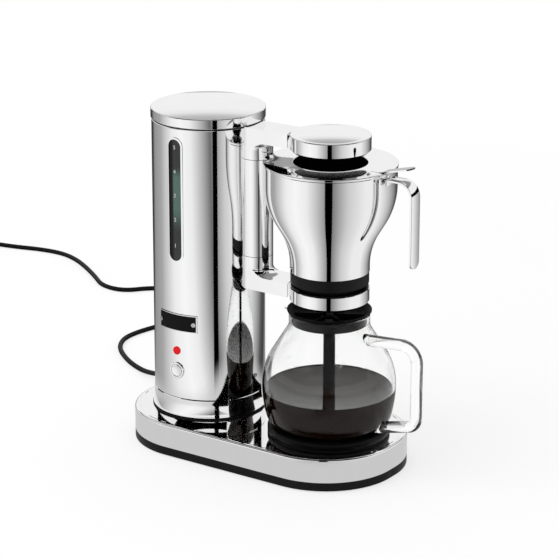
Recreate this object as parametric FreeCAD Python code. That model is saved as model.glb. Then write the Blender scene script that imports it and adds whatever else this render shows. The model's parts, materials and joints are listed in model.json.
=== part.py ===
import FreeCAD, Part
import math
import os
from FreeCAD import Vector

# Electric filter coffee maker: a round water tower and a glass carafe stand side by side on one long
# base. A bracket on the tower carries the shower head above the filter basket and the ring below it.
# Millimetres. +X runs from the tower to the carafe, the front faces -Y, +Z is up, Z = 0 is the table.

# Base
base_length = 299.0
base_width = 166.0
base_end_flat = 12.0         # straight stretch of each short end, between the round corners
tower_offset = 75.0          # tower axis behind the base's centre
basket_clear = 5.4           # column's front to the basket
pad_r = 11.0
pad_margin = 18.0            # pad centre to the rounded corner's edge
pad_proud = 1.2              # how far the rubber pads stand out of the pan
pad_seat = 0.8
band_height = 8.8
pan_wall = 3.0
pan_floor = 2.4
pan_lip_height = 3.0
pan_lip = 1.5
cover_height = 24.8
cover_wall = 1.2
cover_edge_r = 2.4
groove_inset = 4.6
groove_width = 0.9
groove_depth = 0.5
stud_r = 4.0                 # welded studs under the deck that take the pan's screws
stud_x = 58.0
stud_margin = 12.0
screw_r = 1.6
screw_head_r = 3.2
screw_head = 1.6
boss_height = 3.0

# Hotplate
plate_r = 62.0
plate_lift = 8.2             # deck to the plate's top
plate_skin = 3.0
plate_edge_r = 2.5
plate_flange = 5.0           # plate's edge to the spigot that drops through the deck
plate_gasket = 1.0
ring_heater_r = 40.0
ring_heater_tube = 4.0
thermostat_r = 8.0
thermostat_height = 6.0

# Tower
tower_r = 57.5
tower_wall = 1.2
tower_foot_gasket = 1.4
tower_foot_height = 19.0
tower_foot_flare = 1.8
tower_foot_flange = 7.5      # tower's skin to the foot's bore
tower_spigot = 7.0
seam_gap = 0.4
deck_hole_inset = 4.0        # foot's bore to the deck's hole
ledge_depth = 2.6
ledge_height = 2.0
shelf_drop = 40.0            # tank shelf below the gauge window's lower end
shelf_thickness = 4.0

# Tower front: gauge window, badge, indicator, button
window_width = 14.8
window_height = 126.6
window_drop = 74.8           # tower's top edge to the window's middle
window_rim = 2.0
window_rim_proud = 0.7
window_land = 1.0
pane_thickness = 1.4
badge_width = 46.0
badge_height = 18.4
badge_rise = 81.8            # heights on the tower's front are from the shell's lower edge
badge_thickness = 0.7
badge_border = 1.1
badge_inlay = 0.25
badge_bed = 0.2              # glue line under the plate and under its inlay
badge_screw_r = 2.3
badge_screw_angle = 19.6
indicator_rise = 51.2
indicator_r = 4.35
indicator_stem_r = 3.2
indicator_proud = 1.4
button_rise = 29.8
button_r = 6.2
button_stem_r = 3.0
bezel_r = 8.7
bezel_wall = 1.1
bezel_proud = 1.3
sleeve_length = 9.0
button_travel = 1.8
switch_size = 17.0
switch_depth = 14.0
board_width = 56.0
board_height = 84.0
board_thickness = 1.6
board_hang = 6.2             # tank shelf to the board's upper edge
relay_width = 16.0
relay_depth = 14.0
relay_height = 20.0
relay_up = 22.0              # heights on the board are from its lower edge
driver_width = 12.0
driver_depth = 9.0
driver_height = 16.0
driver_up = 44.0
fuse_width = 10.0
fuse_depth = 6.0
fuse_height = 12.0
fuse_up = 52.0
capacitor_r = 6.0
capacitor_length = 14.0
capacitor_up = 20.0
component_x = 17.0           # components stand beside the board's middle line
sensor_rise = 19.0
sensor_r = 2.1
sensor_proud = 0.9

# Water tank, valve and lid
tank_gap = 2.7               # tower's wall to the tank
tank_wall = 2.0
tank_rim = 1.0
tank_pocket = 8.6            # depth of the recess that lets the riser pass
tank_pocket_height = 48.0
outlet_r = 5.0
outlet_length = 14.0
valve_r = 9.0
valve_height = 26.0
ball_r = 4.0
ball_travel = 2.0
lid_overhang = 0.8
lid_rim_height = 10.0
lid_dome = 3.0
lid_edge_r = 1.2
lid_skin = 1.2
insert_depth = 8.0
insert_wall = 2.0

# Bracket: column and two arms
column_width = 31.2
column_step = 3.3            # tower's skin to the centre of the column's round front
lower_stub = 19.6            # arm to the seam where the column starts
upper_stub = 18.5
arm_height = 14.5
arm_proud = 0.5              # upper arm's top above the tower's edge
elbow_fillet = 9.0
neck_gap = 4.0
neck_inset = 0.9
bracket_screw_r = 2.0
bracket_screw_y = 9.0
hose_r = 4.0
hose_wall = 1.2

# Shower head and ring
head_r = 40.0
head_clearance = 10.8        # basket's lid to the shower head
head_lift = 0.8              # arm's underside to the head's underside
head_height = 18.3
head_wall = 1.5
head_chamfer = 3.0
head_dome = 0.9
spray_plate = 2.0
spray_hole_r = 1.6
ring_r = 39.7
ring_clearance = 8.34        # carafe's lid to the ring
ring_lift = 0.4              # arm's underside to the ring's underside
ring_height = 15.3
ring_wall = 6.2
ring_chamfer = 2.6
liner_flange = 1.0
liner_lip_height = 2.2
liner_outlet_r = 8.0

# Filter basket
basket_low_r = 39.8
basket_high_r = 66.2
basket_flare = 31.0          # slope of the flared wall, degrees from the vertical
basket_low_bend = 66.0
basket_high_bend = 76.0
basket_low_run = 6.0
basket_height = 108.2
basket_wall = 1.2
foot_band_inset = 0.5
foot_band_height = 12.7
foot_step_inset = 2.7
foot_step_height = 3.8
foot_bore_r = 7.0
filter_wall = 1.6
filter_top_drop = 4.4
cover_disc = 2.5
cover_overhang = 0.7
cover_hole_r = 37.0
tab_width = 14.0
tab_thickness = 1.4
tab_length = 28.7            # beyond the lid's edge
tab_rise = 9.6
strap_width = 15.6
strap_thickness = 2.2
strap_stand_off = 32.5       # beyond the basket's rim
strap_bend_r = 16.0
strap_drop = 90.0
strap_below_rim = 2.6
rivet_r = 1.6

# Carafe
glass_r = 67.6
glass_wall = 2.6
glass_belly = 42.7           # bottom to the widest circle
glass_lower_bend = 130.0
glass_corner_r = 15.0
glass_shoulder_r = 64.0
glass_slope = 32.0
glass_neck_r = 40.8
glass_neck_bend = 14.0
glass_neck_run = 9.2
spout_length = 13.2          # beyond the neck
spout_root_r = 12.0
spout_tip_r = 5.0
rod_r = 5.9
rod_stand_off = 35.6         # beyond the belly
rod_top = 99.7               # above the carafe's bottom
rod_bend_r = 17.0
rod_corner = 17.5            # above the carafe's bottom
rod_foot = 6.8               # where the rod's lower run ends in the glass, above the carafe's bottom
stopper_overhang = 1.7
stopper_height = 4.0
stopper_depth = 10.0
stopper_wall = 2.6
stopper_rib = 1.6
seal_band = 9.0
stir_tube_r = 6.0
stir_tube_wall = 1.4
stir_tube_foot = 6.0

# Flow heater and cord
flow_r = 8.0
flow_bend_r = 24.0
flow_run = 75.0
flow_lift = 15.4             # above the pan's floor
flow_setback = 4.0
cord_d = 5.5
cord_exit_angle = 150.0
cord_exit_rise = 7.0         # above the cover's lower edge
gland_flange_r = 6.5
gland_flange = 2.0
gland_length = 32.0
coil_r = 36.0
coil_pitch = 6.3
coil_half_turns = 4
coil_heading = 203.0         # the cord's heading where the coil begins, degrees from +X
coil_lead = 30.0             # straight run into the coil
coil_back = 700.0            # coil's centre, from the base's centre
coil_aside = 314.0
tie_strap = 1.0
tie_width = 8.0
plug_length = 36.0
plug_width = 26.0
blade_length = 15.0

# Clearances
slide_gap = 0.3              # between pieces that move past each other
seat_gap = 0.1               # between pieces that stay together

# Radii that follow from the sizes above
base_corner_r = (base_width - base_end_flat) / 2
plate_spigot_r = plate_r - plate_flange
tower_foot_inner_r = tower_r - tower_foot_flange
deck_hole_r = tower_foot_inner_r - deck_hole_inset
tank_r = tower_r - tower_wall - tank_gap
lid_r = tower_r + lid_overhang
column_reach = tower_r + column_step
column_half = column_width / 2
brew_offset = column_reach + column_half + basket_clear + basket_high_r - tower_offset
ring_bore_r = ring_r - ring_wall
foot_band_r = basket_low_r - foot_band_inset
foot_step_r = foot_band_r - foot_step_inset
cover_r = basket_high_r + cover_overhang
tab_reach = cover_r + tab_length
strap_reach = basket_high_r + strap_stand_off
spout_reach = glass_neck_r + spout_length
rod_reach = glass_r + rod_stand_off
stopper_flange_r = glass_neck_r + stopper_overhang

# Heights: the base and hotplate, then the carafe, the ring, the basket, the shower head and the tower's top
pan_z = pad_proud
band_z = pan_z + band_height
deck_z = band_z + cover_height
plate_z = deck_z + plate_lift
flow_z = pan_z + pan_floor + flow_lift
cord_exit_z = band_z + cord_exit_rise
glass_z = plate_z + slide_gap
neck_slope = math.radians(glass_slope)
neck_fall = (glass_shoulder_r + glass_neck_bend) * (1 - math.cos(neck_slope))
neck_run = (glass_r - glass_neck_r - neck_fall) / math.sin(neck_slope)
rim_z = (glass_z + glass_belly + (glass_shoulder_r + glass_neck_bend) * math.sin(neck_slope)
         + neck_run * math.cos(neck_slope) + glass_neck_run)
stopper_z = rim_z + slide_gap
stopper_top_z = stopper_z + stopper_height
ring_z = stopper_top_z + ring_clearance
ring_top_z = ring_z + ring_height
lower_arm_z = ring_z - ring_lift
lower_arm_top_z = lower_arm_z + arm_height
column_low_z = lower_arm_top_z + lower_stub
seat_z = ring_top_z + liner_flange
basket_foot_z = seat_z + slide_gap
band_foot_z = basket_foot_z + foot_step_height
basket_z = band_foot_z + foot_band_height
basket_top_z = basket_z + basket_height
disc_z = basket_top_z + slide_gap
disc_top_z = disc_z + cover_disc
head_z = disc_top_z + head_clearance
upper_arm_z = head_z - head_lift
upper_arm_top_z = upper_arm_z + arm_height
column_high_z = upper_arm_z - upper_stub
foot_z = deck_z + tower_foot_gasket
seam_z = foot_z + tower_foot_height
shell_z = seam_z + seam_gap
shell_top_z = upper_arm_top_z - arm_proud
tank_top_z = shell_top_z + tank_rim
lid_z = tank_top_z + slide_gap
lid_rim_z = lid_z + lid_rim_height
window_mid_z = shell_top_z - window_drop
badge_mid_z = shell_z + badge_rise
indicator_z = shell_z + indicator_rise
button_z = shell_z + button_rise
sensor_z = shell_z + sensor_rise
shelf_z = window_mid_z - window_height / 2 - shelf_drop
tank_z = shelf_z + shelf_thickness
board_low_z = shelf_z - board_hang - board_height

# Places along X: the origin is the middle of the object's length, without its cord
front_reach = max(base_length / 2, brew_offset + rod_reach + rod_r)
base_x = (base_length / 2 - front_reach) / 2
tower_x = base_x - tower_offset
brew_x = base_x + brew_offset
column_x = tower_x + column_reach
corner_x = base_length / 2 - base_corner_r
corner_y = base_width / 2 - base_corner_r
flow_x = tower_x + flow_bend_r - flow_setback
coil_centre = Vector(base_x - coil_back, coil_aside, cord_d / 2 + tie_strap + seat_gap)
up = Vector(0, 0, 1)
forward = Vector(1, 0, 0)
inward = Vector(0, 1, 0)
parts = {}


# Plain solids

def cyl(radius, z0, z1, x=0.0, y=0.0):
    return Part.makeCylinder(radius, z1 - z0, Vector(x, y, z0), up)


def tube(outer, inner, z0, z1, x=0.0, y=0.0):
    return cyl(outer, z0, z1, x, y).cut(cyl(inner, z0 - 1, z1 + 1, x, y))


def box(x0, x1, y0, y1, z0, z1):
    return Part.makeBox(x1 - x0, y1 - y0, z1 - z0, Vector(x0, y0, z0))


def rod_y(radius, y0, y1, x, z):
    return Part.makeCylinder(radius, y1 - y0, Vector(x, y0, z), inward)


def rod_x(radius, x0, x1, y, z):
    return Part.makeCylinder(radius, x1 - x0, Vector(x0, y, z), forward)


def outline_prism(inset, z0, z1):
    """The base's outline, drawn in by an inset, as a prism."""
    half_x = base_length / 2 - inset
    half_y = base_width / 2 - inset
    r = base_corner_r - inset
    edges = []
    for sx, sy, turn in ((1, 1, 0), (-1, 1, 90), (-1, -1, 180), (1, -1, 270)):
        cx = base_x + sx * (half_x - r)
        cy = sy * (half_y - r)
        ends = [Vector(cx + r * math.cos(math.radians(turn + a)), cy + r * math.sin(math.radians(turn + a)), z0)
                for a in (0, 45, 90)]
        if edges:
            edges.append(Part.LineSegment(edges[-1].valueAt(edges[-1].LastParameter), ends[0]).toShape())
        edges.append(Part.Arc(*ends).toShape())
    edges.append(Part.LineSegment(edges[-1].valueAt(edges[-1].LastParameter),
                                  edges[0].valueAt(edges[0].FirstParameter)).toShape())
    return Part.Face(Part.Wire(edges)).extrude(Vector(0, 0, z1 - z0))


def slot_prism(width, height, mid_z, y0, y1):
    """A tall slot with round ends in the tower's front, as a prism along Y."""
    r = width / 2
    low = mid_z - height / 2 + r
    high = mid_z + height / 2 - r
    wire = Part.Wire([
        Part.LineSegment(Vector(tower_x + r, y0, low), Vector(tower_x + r, y0, high)).toShape(),
        Part.Arc(Vector(tower_x + r, y0, high), Vector(tower_x, y0, high + r), Vector(tower_x - r, y0, high)).toShape(),
        Part.LineSegment(Vector(tower_x - r, y0, high), Vector(tower_x - r, y0, low)).toShape(),
        Part.Arc(Vector(tower_x - r, y0, low), Vector(tower_x, y0, low - r), Vector(tower_x + r, y0, low)).toShape()])
    return Part.Face(wire).extrude(Vector(0, y1 - y0, 0))


def profile(*steps):
    """Edges in the XZ plane: a point draws a line, a pair of points draws an arc through the first."""
    here = Vector(steps[0][0], 0, steps[0][1])
    first = here
    edges = []
    for step in steps[1:]:
        if isinstance(step[0], tuple):
            end = Vector(step[1][0], 0, step[1][1])
            edges.append(Part.Arc(here, Vector(step[0][0], 0, step[0][1]), end).toShape())
        else:
            end = Vector(step[0], 0, step[1])
            edges.append(Part.LineSegment(here, end).toShape())
        here = end
    if here.distanceToPoint(first) > 1e-7:
        edges.append(Part.LineSegment(here, first).toShape())
    return Part.Wire(edges)


def turned(x, *steps):
    """A solid turned about the vertical through x, from a profile of radius and height."""
    solid = Part.Face(profile(*steps)).revolve(Vector(0, 0, 0), up, 360)
    solid.translate(Vector(x, 0, 0))
    return solid


def arc_point(cx, cz, r, degrees):
    return (cx + r * math.cos(math.radians(degrees)), cz + r * math.sin(math.radians(degrees)))


def crown(edge_r, edge_z, rise):
    """The arc of a shallow dome from its edge to its top on the axis."""
    r = (edge_r ** 2 + rise ** 2) / (2 * rise)
    mid = edge_r / 2
    return (mid, edge_z + rise - r + math.sqrt(r ** 2 - mid ** 2)), (0, edge_z + rise)


# Tubes along a path

def bend_arc(before, corner, after, radius):
    """The tangent points and the middle of the arc that rounds a corner."""
    a = (before - corner).normalize()
    b = (after - corner).normalize()
    half = math.acos(max(-1.0, min(1.0, a.dot(b)))) / 2
    reach = radius / math.tan(half)
    middle = (a + b).normalize()
    return corner + a * reach, corner + middle * (radius / math.sin(half) - radius), corner + b * reach


def rounded_path(points, radii):
    edges = []
    here = points[0]
    for i in range(1, len(points) - 1):
        start, middle, end = bend_arc(points[i - 1], points[i], points[i + 1], radii[i - 1])
        if start.distanceToPoint(here) > 1e-6:
            edges.append(Part.LineSegment(here, start).toShape())
        edges.append(Part.Arc(start, middle, end).toShape())
        here = end
    edges.append(Part.LineSegment(here, points[-1]).toShape())
    return Part.Wire(edges)


def swept(path, radius):
    edge = path.Edges[0]
    start = edge.valueAt(edge.FirstParameter)
    circle = Part.Circle(start, edge.tangentAt(edge.FirstParameter), radius).toShape()
    return path.makePipeShell([Part.Wire(circle)], True, False)


def cord_radii(points):
    """The largest bend that each corner's two runs allow."""
    radii = []
    for before, corner, after in zip(points, points[1:], points[2:]):
        a = corner - before
        b = after - corner
        turn = a.getAngle(b)
        radii.append(0.45 * min(a.Length, b.Length) / math.tan(turn / 2))
    return radii


def biarc(p0, t0, p1, t1):
    """Two arcs that meet smoothly, from p0 along t0 to p1 along t1."""
    v = p1 - p0
    t = t0 + t1
    k = 2 * (1 - t0.dot(t1))
    d = (-v.dot(t) + math.sqrt(v.dot(t) ** 2 + k * v.dot(v))) / k
    join = (p0 + p1 + (t0 - t1) * d) * 0.5
    return [arc_from(p0, t0, join), arc_from(p1, t1 * -1, join, True)]


def arc_from(p, t, q, back=False):
    chord = q - p
    along = Vector(chord).normalize()
    side = (t - along * t.dot(along)).normalize()
    bow = chord.Length / 2 * math.tan(math.acos(max(-1.0, min(1.0, t.dot(along)))) / 2)
    middle = p + chord * 0.5 + side * bow
    return Part.Arc(q, middle, p).toShape() if back else Part.Arc(p, middle, q).toShape()


# Base

def stud_places():
    y = base_width / 2 - stud_margin
    return [(base_x + sx * stud_x, sy * y) for sx in (-1, 1) for sy in (-1, 1)]


def pad_places():
    r = (base_corner_r - pad_margin) * math.sqrt(0.5)
    return [(base_x + sx * (corner_x + r), sy * (corner_y + r)) for sx in (-1, 1) for sy in (-1, 1)]


def flow_path():
    x0 = flow_x
    x1 = x0 + flow_run
    return Part.Wire([
        Part.LineSegment(Vector(x0, -flow_bend_r, flow_z), Vector(x1, -flow_bend_r, flow_z)).toShape(),
        Part.Arc(Vector(x1, -flow_bend_r, flow_z), Vector(x1 + flow_bend_r, 0, flow_z),
                 Vector(x1, flow_bend_r, flow_z)).toShape(),
        Part.LineSegment(Vector(x1, flow_bend_r, flow_z), Vector(x0, flow_bend_r, flow_z)).toShape()])


def build_base():
    floor_z = pan_z + pan_floor
    pan = outline_prism(0, pan_z, band_z).cut(outline_prism(pan_wall, floor_z, band_z + 1))
    lip_inset = cover_wall + slide_gap
    pan = pan.fuse(outline_prism(lip_inset, band_z - 1, band_z + pan_lip_height)
                   .cut(outline_prism(lip_inset + pan_lip, band_z - 2, band_z + pan_lip_height + 1)))
    pan = pan.cut(outline_prism(lip_inset + pan_lip, floor_z, band_z))
    boss_z = floor_z + boss_height
    for x, y in stud_places():
        pan = pan.fuse(cyl(stud_r + 2, floor_z - 1, boss_z, x, y))
        pan = pan.cut(cyl(screw_head_r + slide_gap, pan_z - 1, pan_z + screw_head + slide_gap, x, y))
        pan = pan.cut(cyl(screw_r + seat_gap, pan_z - 1, boss_z + 1, x, y))
    for x, y in pad_places():
        pan = pan.cut(cyl(pad_r + seat_gap, pan_z - 1, pan_z + pad_seat, x, y))
    for x in (flow_x + 0.2 * flow_run, flow_x + 0.85 * flow_run):
        saddle = box(x - 4, x + 4, -flow_bend_r - flow_r - 2, flow_bend_r + flow_r + 2, floor_z - 1, flow_z)
        pan = pan.fuse(saddle.cut(swept(flow_path(), flow_r + seat_gap)))
    parts["base_pan"] = pan.removeSplitter()
    parts["rubber_pads"] = Part.makeCompound(
        [cyl(pad_r, 0, pan_z + pad_seat, x, y) for x, y in pad_places()])

    cover = outline_prism(0, band_z, deck_z)
    rim = [e for e in cover.Edges if all(abs(v.Z - deck_z) < 1e-6 for v in e.Vertexes)]
    cover = cover.makeFillet(cover_edge_r, rim)
    cover = cover.cut(outline_prism(cover_wall, band_z - 1, deck_z - cover_wall))
    for x, y in stud_places():
        stud = cyl(stud_r, boss_z, deck_z - cover_wall / 2, x, y)
        cover = cover.fuse(stud.cut(cyl(screw_r + seat_gap, boss_z - 1, boss_z + 9, x, y)))
    cover = cover.cut(outline_prism(groove_inset, deck_z - groove_depth, deck_z + 1)
                      .cut(outline_prism(groove_inset + groove_width, deck_z - 5, deck_z + 2)))
    cover = cover.cut(cyl(plate_spigot_r + slide_gap, deck_z - 5, deck_z + 5, brew_x))
    cover = cover.cut(cyl(deck_hole_r, deck_z - 5, deck_z + 5, tower_x))
    for x, y in tower_screw_places():
        cover = cover.cut(cyl(screw_r + seat_gap, deck_z - 5, deck_z + 5, x, y))
    exit_point, exit_dir = cord_exit()
    cover = cover.cut(Part.makeCylinder(cord_d / 2 + seat_gap, 8, exit_point - exit_dir * 5, exit_dir))
    parts["base_cover"] = cover.removeSplitter()

    parts["base_screws"] = Part.makeCompound(
        [cyl(screw_head_r, pan_z + slide_gap, pan_z + slide_gap + screw_head, x, y)
         .cut(cyl(1.2, pan_z, pan_z + 1, x, y))
         .fuse(cyl(screw_r, pan_z + screw_head, boss_z + 8, x, y)) for x, y in stud_places()])


def build_hotplate():
    under_z = plate_z - plate_skin
    flange_z = deck_z + plate_gasket
    plate = turned(brew_x, (0, under_z), (plate_spigot_r - 4, under_z), (plate_spigot_r - 4, deck_z - 4),
                   (plate_spigot_r, deck_z - 4), (plate_spigot_r, flange_z), (plate_r, flange_z),
                   (plate_r, plate_z - plate_edge_r),
                   (arc_point(plate_r - plate_edge_r, plate_z - plate_edge_r, plate_edge_r, 45),
                    (plate_r - plate_edge_r, plate_z)), (0, plate_z))
    parts["hotplate"] = plate
    parts["hotplate_gasket"] = tube(plate_r - 0.6, plate_spigot_r + seat_gap, deck_z, flange_z, brew_x)
    heater = Part.makeTorus(ring_heater_r, ring_heater_tube, Vector(brew_x, 0, under_z - ring_heater_tube), up)
    heater = heater.cut(box(brew_x, brew_x + ring_heater_r * 2, -6, 6, 0, plate_z))
    for y in (-6, 6):
        x = brew_x + math.sqrt(ring_heater_r ** 2 - y * y)
        heater = heater.fuse(cyl(2.2, under_z - ring_heater_tube - 8, under_z - ring_heater_tube, x, y * 1.3))
    parts["hotplate_element"] = heater
    parts["thermostat"] = cyl(thermostat_r, under_z - thermostat_height, under_z, brew_x).fuse(
        box(brew_x - thermostat_r - 3, brew_x + thermostat_r + 3, -3, 3, under_z - 2, under_z))


def build_flow_heater():
    path = flow_path()
    heater = swept(path, flow_r)
    for side in (-1, 1):
        y = side * flow_bend_r
        heater = heater.fuse(cyl(hose_r - hose_wall - seat_gap, flow_z, flow_z + flow_r + 6, flow_x + flow_r, y))
        heater = heater.fuse(cyl(2.0, flow_z + flow_r - 2, flow_z + flow_r + 4, flow_x + 0.7 * flow_run, y))
    parts["flow_heater"] = heater


# Tower

def tower_screw_places():
    r = (tower_foot_inner_r + tower_r - tower_wall) / 2
    return [(tower_x + r * math.cos(math.radians(a)), r * math.sin(math.radians(a))) for a in (60, 180, 300)]


def build_tower():
    flare_r = tower_r + tower_foot_flare
    inside = tower_r - tower_wall
    gasket = tube(flare_r + 0.4, tower_foot_inner_r, deck_z, foot_z, tower_x)
    for x, y in tower_screw_places():
        gasket = gasket.cut(cyl(screw_r + seat_gap, deck_z - 1, foot_z + 1, x, y))
    parts["tower_gasket"] = gasket
    spigot_z = shell_z + tower_spigot
    foot = turned(tower_x, (tower_foot_inner_r, foot_z), (flare_r, foot_z), (flare_r, foot_z + 1.2),
                  ((tower_r + 0.45 * tower_foot_flare, foot_z + 0.28 * tower_foot_height),
                   (tower_r + 0.2, foot_z + 0.8 * tower_foot_height)),
                  (tower_r + 0.2, seam_z - 0.5), (tower_r - 0.3, seam_z), (inside - seat_gap, seam_z),
                  (inside - seat_gap, spigot_z), (inside - 2, spigot_z), (inside - 2, foot_z + 4),
                  (tower_foot_inner_r, foot_z + 4))
    for x, y in tower_screw_places():
        foot = foot.cut(cyl(screw_r + seat_gap, foot_z - 1, foot_z + 3.5, x, y))
    parts["tower_foot"] = foot
    parts["tower_screws"] = Part.makeCompound(
        [cyl(screw_head_r, deck_z - cover_wall - screw_head, deck_z - cover_wall, x, y)
         .fuse(cyl(screw_r, deck_z - cover_wall, foot_z + 3.4, x, y)) for x, y in tower_screw_places()])

    shell = tube(tower_r, inside, shell_z, shell_top_z, tower_x)
    shell = shell.fuse(tube(inside + tower_wall / 2, inside - ledge_depth, shelf_z - ledge_height, shelf_z, tower_x))
    land = 2 * (window_rim - window_land)
    shell = shell.cut(slot_prism(window_width + land, window_height + land, window_mid_z, -tower_r - 9, 0))
    shell = shell.cut(rod_y(indicator_stem_r + seat_gap, -tower_r - 9, 0, tower_x, indicator_z))
    shell = shell.cut(rod_y(button_r + slide_gap + bezel_wall + seat_gap, -tower_r - 9, 0, tower_x, button_z))
    shell = shell.cut(rod_x(sensor_r * 0.6 + seat_gap, tower_x, tower_x + tower_r + 9, 0, sensor_z))
    shell = shell.cut(swept(riser_path(), hose_r + seat_gap))
    for z in bracket_screw_heights():
        for y in (-bracket_screw_y, bracket_screw_y):
            shell = shell.cut(rod_x(bracket_screw_r + seat_gap, tower_x + 10, tower_x + tower_r + 9, y, z))
    parts["tower_shell"] = shell.removeSplitter()


def build_front():
    inside = tower_r - tower_wall
    reach = tower_r + 20
    outside = cyl(tower_r + window_rim_proud, 0, lid_z + 50, tower_x)
    skin = outside.cut(cyl(tower_r, -1, lid_z + 60, tower_x))
    wall = cyl(tower_r + window_rim_proud / 2, 0, lid_z + 50, tower_x).cut(cyl(inside, -1, lid_z + 60, tower_x))
    land = 2 * (window_rim - window_land)
    opening = slot_prism(window_width, window_height, window_mid_z, -reach, 0)
    rim = slot_prism(window_width + 2 * window_rim, window_height + 2 * window_rim, window_mid_z, -reach, 0)
    sleeve = slot_prism(window_width + land - 2 * seat_gap, window_height + land - 2 * seat_gap, window_mid_z, -reach, 0)
    parts["window_frame"] = rim.common(skin).fuse(sleeve.common(wall)).cut(opening).removeSplitter()
    pane = slot_prism(window_width - 2 * seat_gap, window_height - 2 * seat_gap, window_mid_z, -reach, 0)
    parts["gauge_window"] = pane.common(tube(tower_r - 0.2, tower_r - 0.2 - pane_thickness, 0, lid_z, tower_x))

    def plate(width, height, r_low, r_high):
        block = box(tower_x - width / 2, tower_x + width / 2, -reach, 0,
                    badge_mid_z - height / 2, badge_mid_z + height / 2)
        return block.common(tube(r_high, r_low, 0, lid_z, tower_x))
    back_r = tower_r + badge_bed
    face_r = back_r + badge_thickness
    inlay_r = face_r + badge_bed
    parts["badge_plate"] = plate(badge_width, badge_height, back_r, face_r)
    inner_width = badge_width - 2 * badge_border
    inner_height = badge_height - 2 * badge_border
    parts["badge_inlay"] = plate(inner_width, inner_height, inlay_r, inlay_r + badge_inlay)
    heads = []
    for side in (-1, 1):
        head = rod_y(badge_screw_r, -inlay_r - 1.2, -inlay_r + 0.5, tower_x, badge_mid_z)
        head = head.cut(box(tower_x - 0.35, tower_x + 0.35, -inlay_r - 2, -inlay_r - 0.8,
                            badge_mid_z - badge_screw_r, badge_mid_z + badge_screw_r))
        head.rotate(Vector(tower_x, 0, 0), up, side * badge_screw_angle)
        heads.append(head.cut(cyl(inlay_r + badge_inlay + 0.1, 0, lid_z, tower_x)))
    parts["badge_screws"] = Part.makeCompound(heads)

    edge = indicator_proud * 0.5
    dome = turned(0, (0, -2), (indicator_r, -2), (indicator_r, edge), crown(indicator_r, edge, indicator_proud - edge))
    dome.rotate(Vector(0, 0, 0), forward, 90)
    dome.translate(Vector(tower_x, -tower_r, indicator_z))
    lens = dome.cut(cyl(tower_r, 0, lid_z, tower_x))
    lens = lens.fuse(rod_y(indicator_stem_r, -tower_r - 0.3, -inside + 2.5, tower_x, indicator_z))
    parts["indicator_lens"] = lens.removeSplitter()

    bore_r = button_r + slide_gap
    sleeve_r = bore_r + bezel_wall
    front_y = -tower_r - bezel_proud
    back_y = front_y + sleeve_length
    flange = rod_y(bezel_r, front_y, 0, tower_x, button_z).cut(cyl(tower_r, 0, lid_z, tower_x))
    bezel = flange.fuse(rod_y(sleeve_r, front_y + 0.3, back_y, tower_x, button_z))
    parts["button_bezel"] = bezel.cut(rod_y(bore_r, front_y - 1, 0, tower_x, button_z)).removeSplitter()
    cap = rod_y(button_r, front_y - 0.3, back_y - 2.8, tower_x, button_z)
    rim_edge = [e for e in cap.Edges if all(abs(v.Y - front_y + 0.3) < 1e-6 for v in e.Vertexes)]
    cap = cap.makeFillet(0.7, rim_edge[:1])
    stem_y = back_y + 1.0
    parts["button_cap"] = cap.fuse(rod_y(button_stem_r, back_y - 3, stem_y, tower_x, button_z))
    half = switch_size / 2
    switch = box(tower_x - half, tower_x + half, back_y, back_y + switch_depth, button_z - half, button_z + half)
    well = rod_y(button_stem_r + slide_gap, back_y - 1, stem_y + button_travel + slide_gap, tower_x, button_z)
    parts["button_switch"] = switch.cut(well)

    board_y = back_y + switch_depth
    board = box(tower_x - board_width / 2, tower_x + board_width / 2, board_y, board_y + board_thickness,
                board_low_z, board_low_z + board_height)
    components = ((1, relay_up, relay_width, relay_depth, relay_height),
                  (-1, driver_up, driver_width, driver_depth, driver_height),
                  (1, fuse_up, fuse_width, fuse_depth, fuse_height))
    for side, rise, width, depth, height in components:
        x = tower_x + side * component_x
        z = board_low_z + rise
        board = board.fuse(box(x - width / 2, x + width / 2, board_y - depth, board_y + board_thickness / 2,
                               z - height / 2, z + height / 2))
    board = board.fuse(rod_y(capacitor_r, board_y - capacitor_length, board_y + board_thickness / 2,
                             tower_x - component_x, board_low_z + capacitor_up))
    parts["control_board"] = board.removeSplitter()
    led_tip = -inside + 2.5 + seat_gap
    parts["indicator_led"] = rod_y(indicator_stem_r - 0.7, led_tip, board_y - 8, tower_x, indicator_z).fuse(
        rod_y(1.4, board_y - 8.5, board_y, tower_x, indicator_z))
    stud = rod_x(sensor_r, tower_x + tower_r * 0.9, tower_x + tower_r + sensor_proud, 0, sensor_z)
    stud = stud.cut(cyl(tower_r, 0, lid_z, tower_x))
    stud = stud.cut(rod_x(0.8, tower_x + tower_r + sensor_proud - 0.4, tower_x + tower_r + 9, 0, sensor_z))
    parts["carafe_sensor"] = stud.fuse(
        rod_x(sensor_r * 0.6, tower_x + inside - 5, tower_x + tower_r + 0.3, 0, sensor_z))
    hanger_y = board_y + board_thickness
    shelf = cyl(inside - slide_gap, shelf_z, tank_z, tower_x).cut(cyl(outlet_r + 2, 0, lid_z, tower_x))
    shelf = shelf.cut(box(column_x - column_reach + tank_r - tank_pocket, column_x, -9, 9, 0, lid_z))
    shelf = shelf.fuse(box(tower_x - 8, tower_x + 8, hanger_y, hanger_y + 3, board_low_z + 8, shelf_z + 1))
    parts["tank_shelf"] = shelf.removeSplitter()


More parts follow.
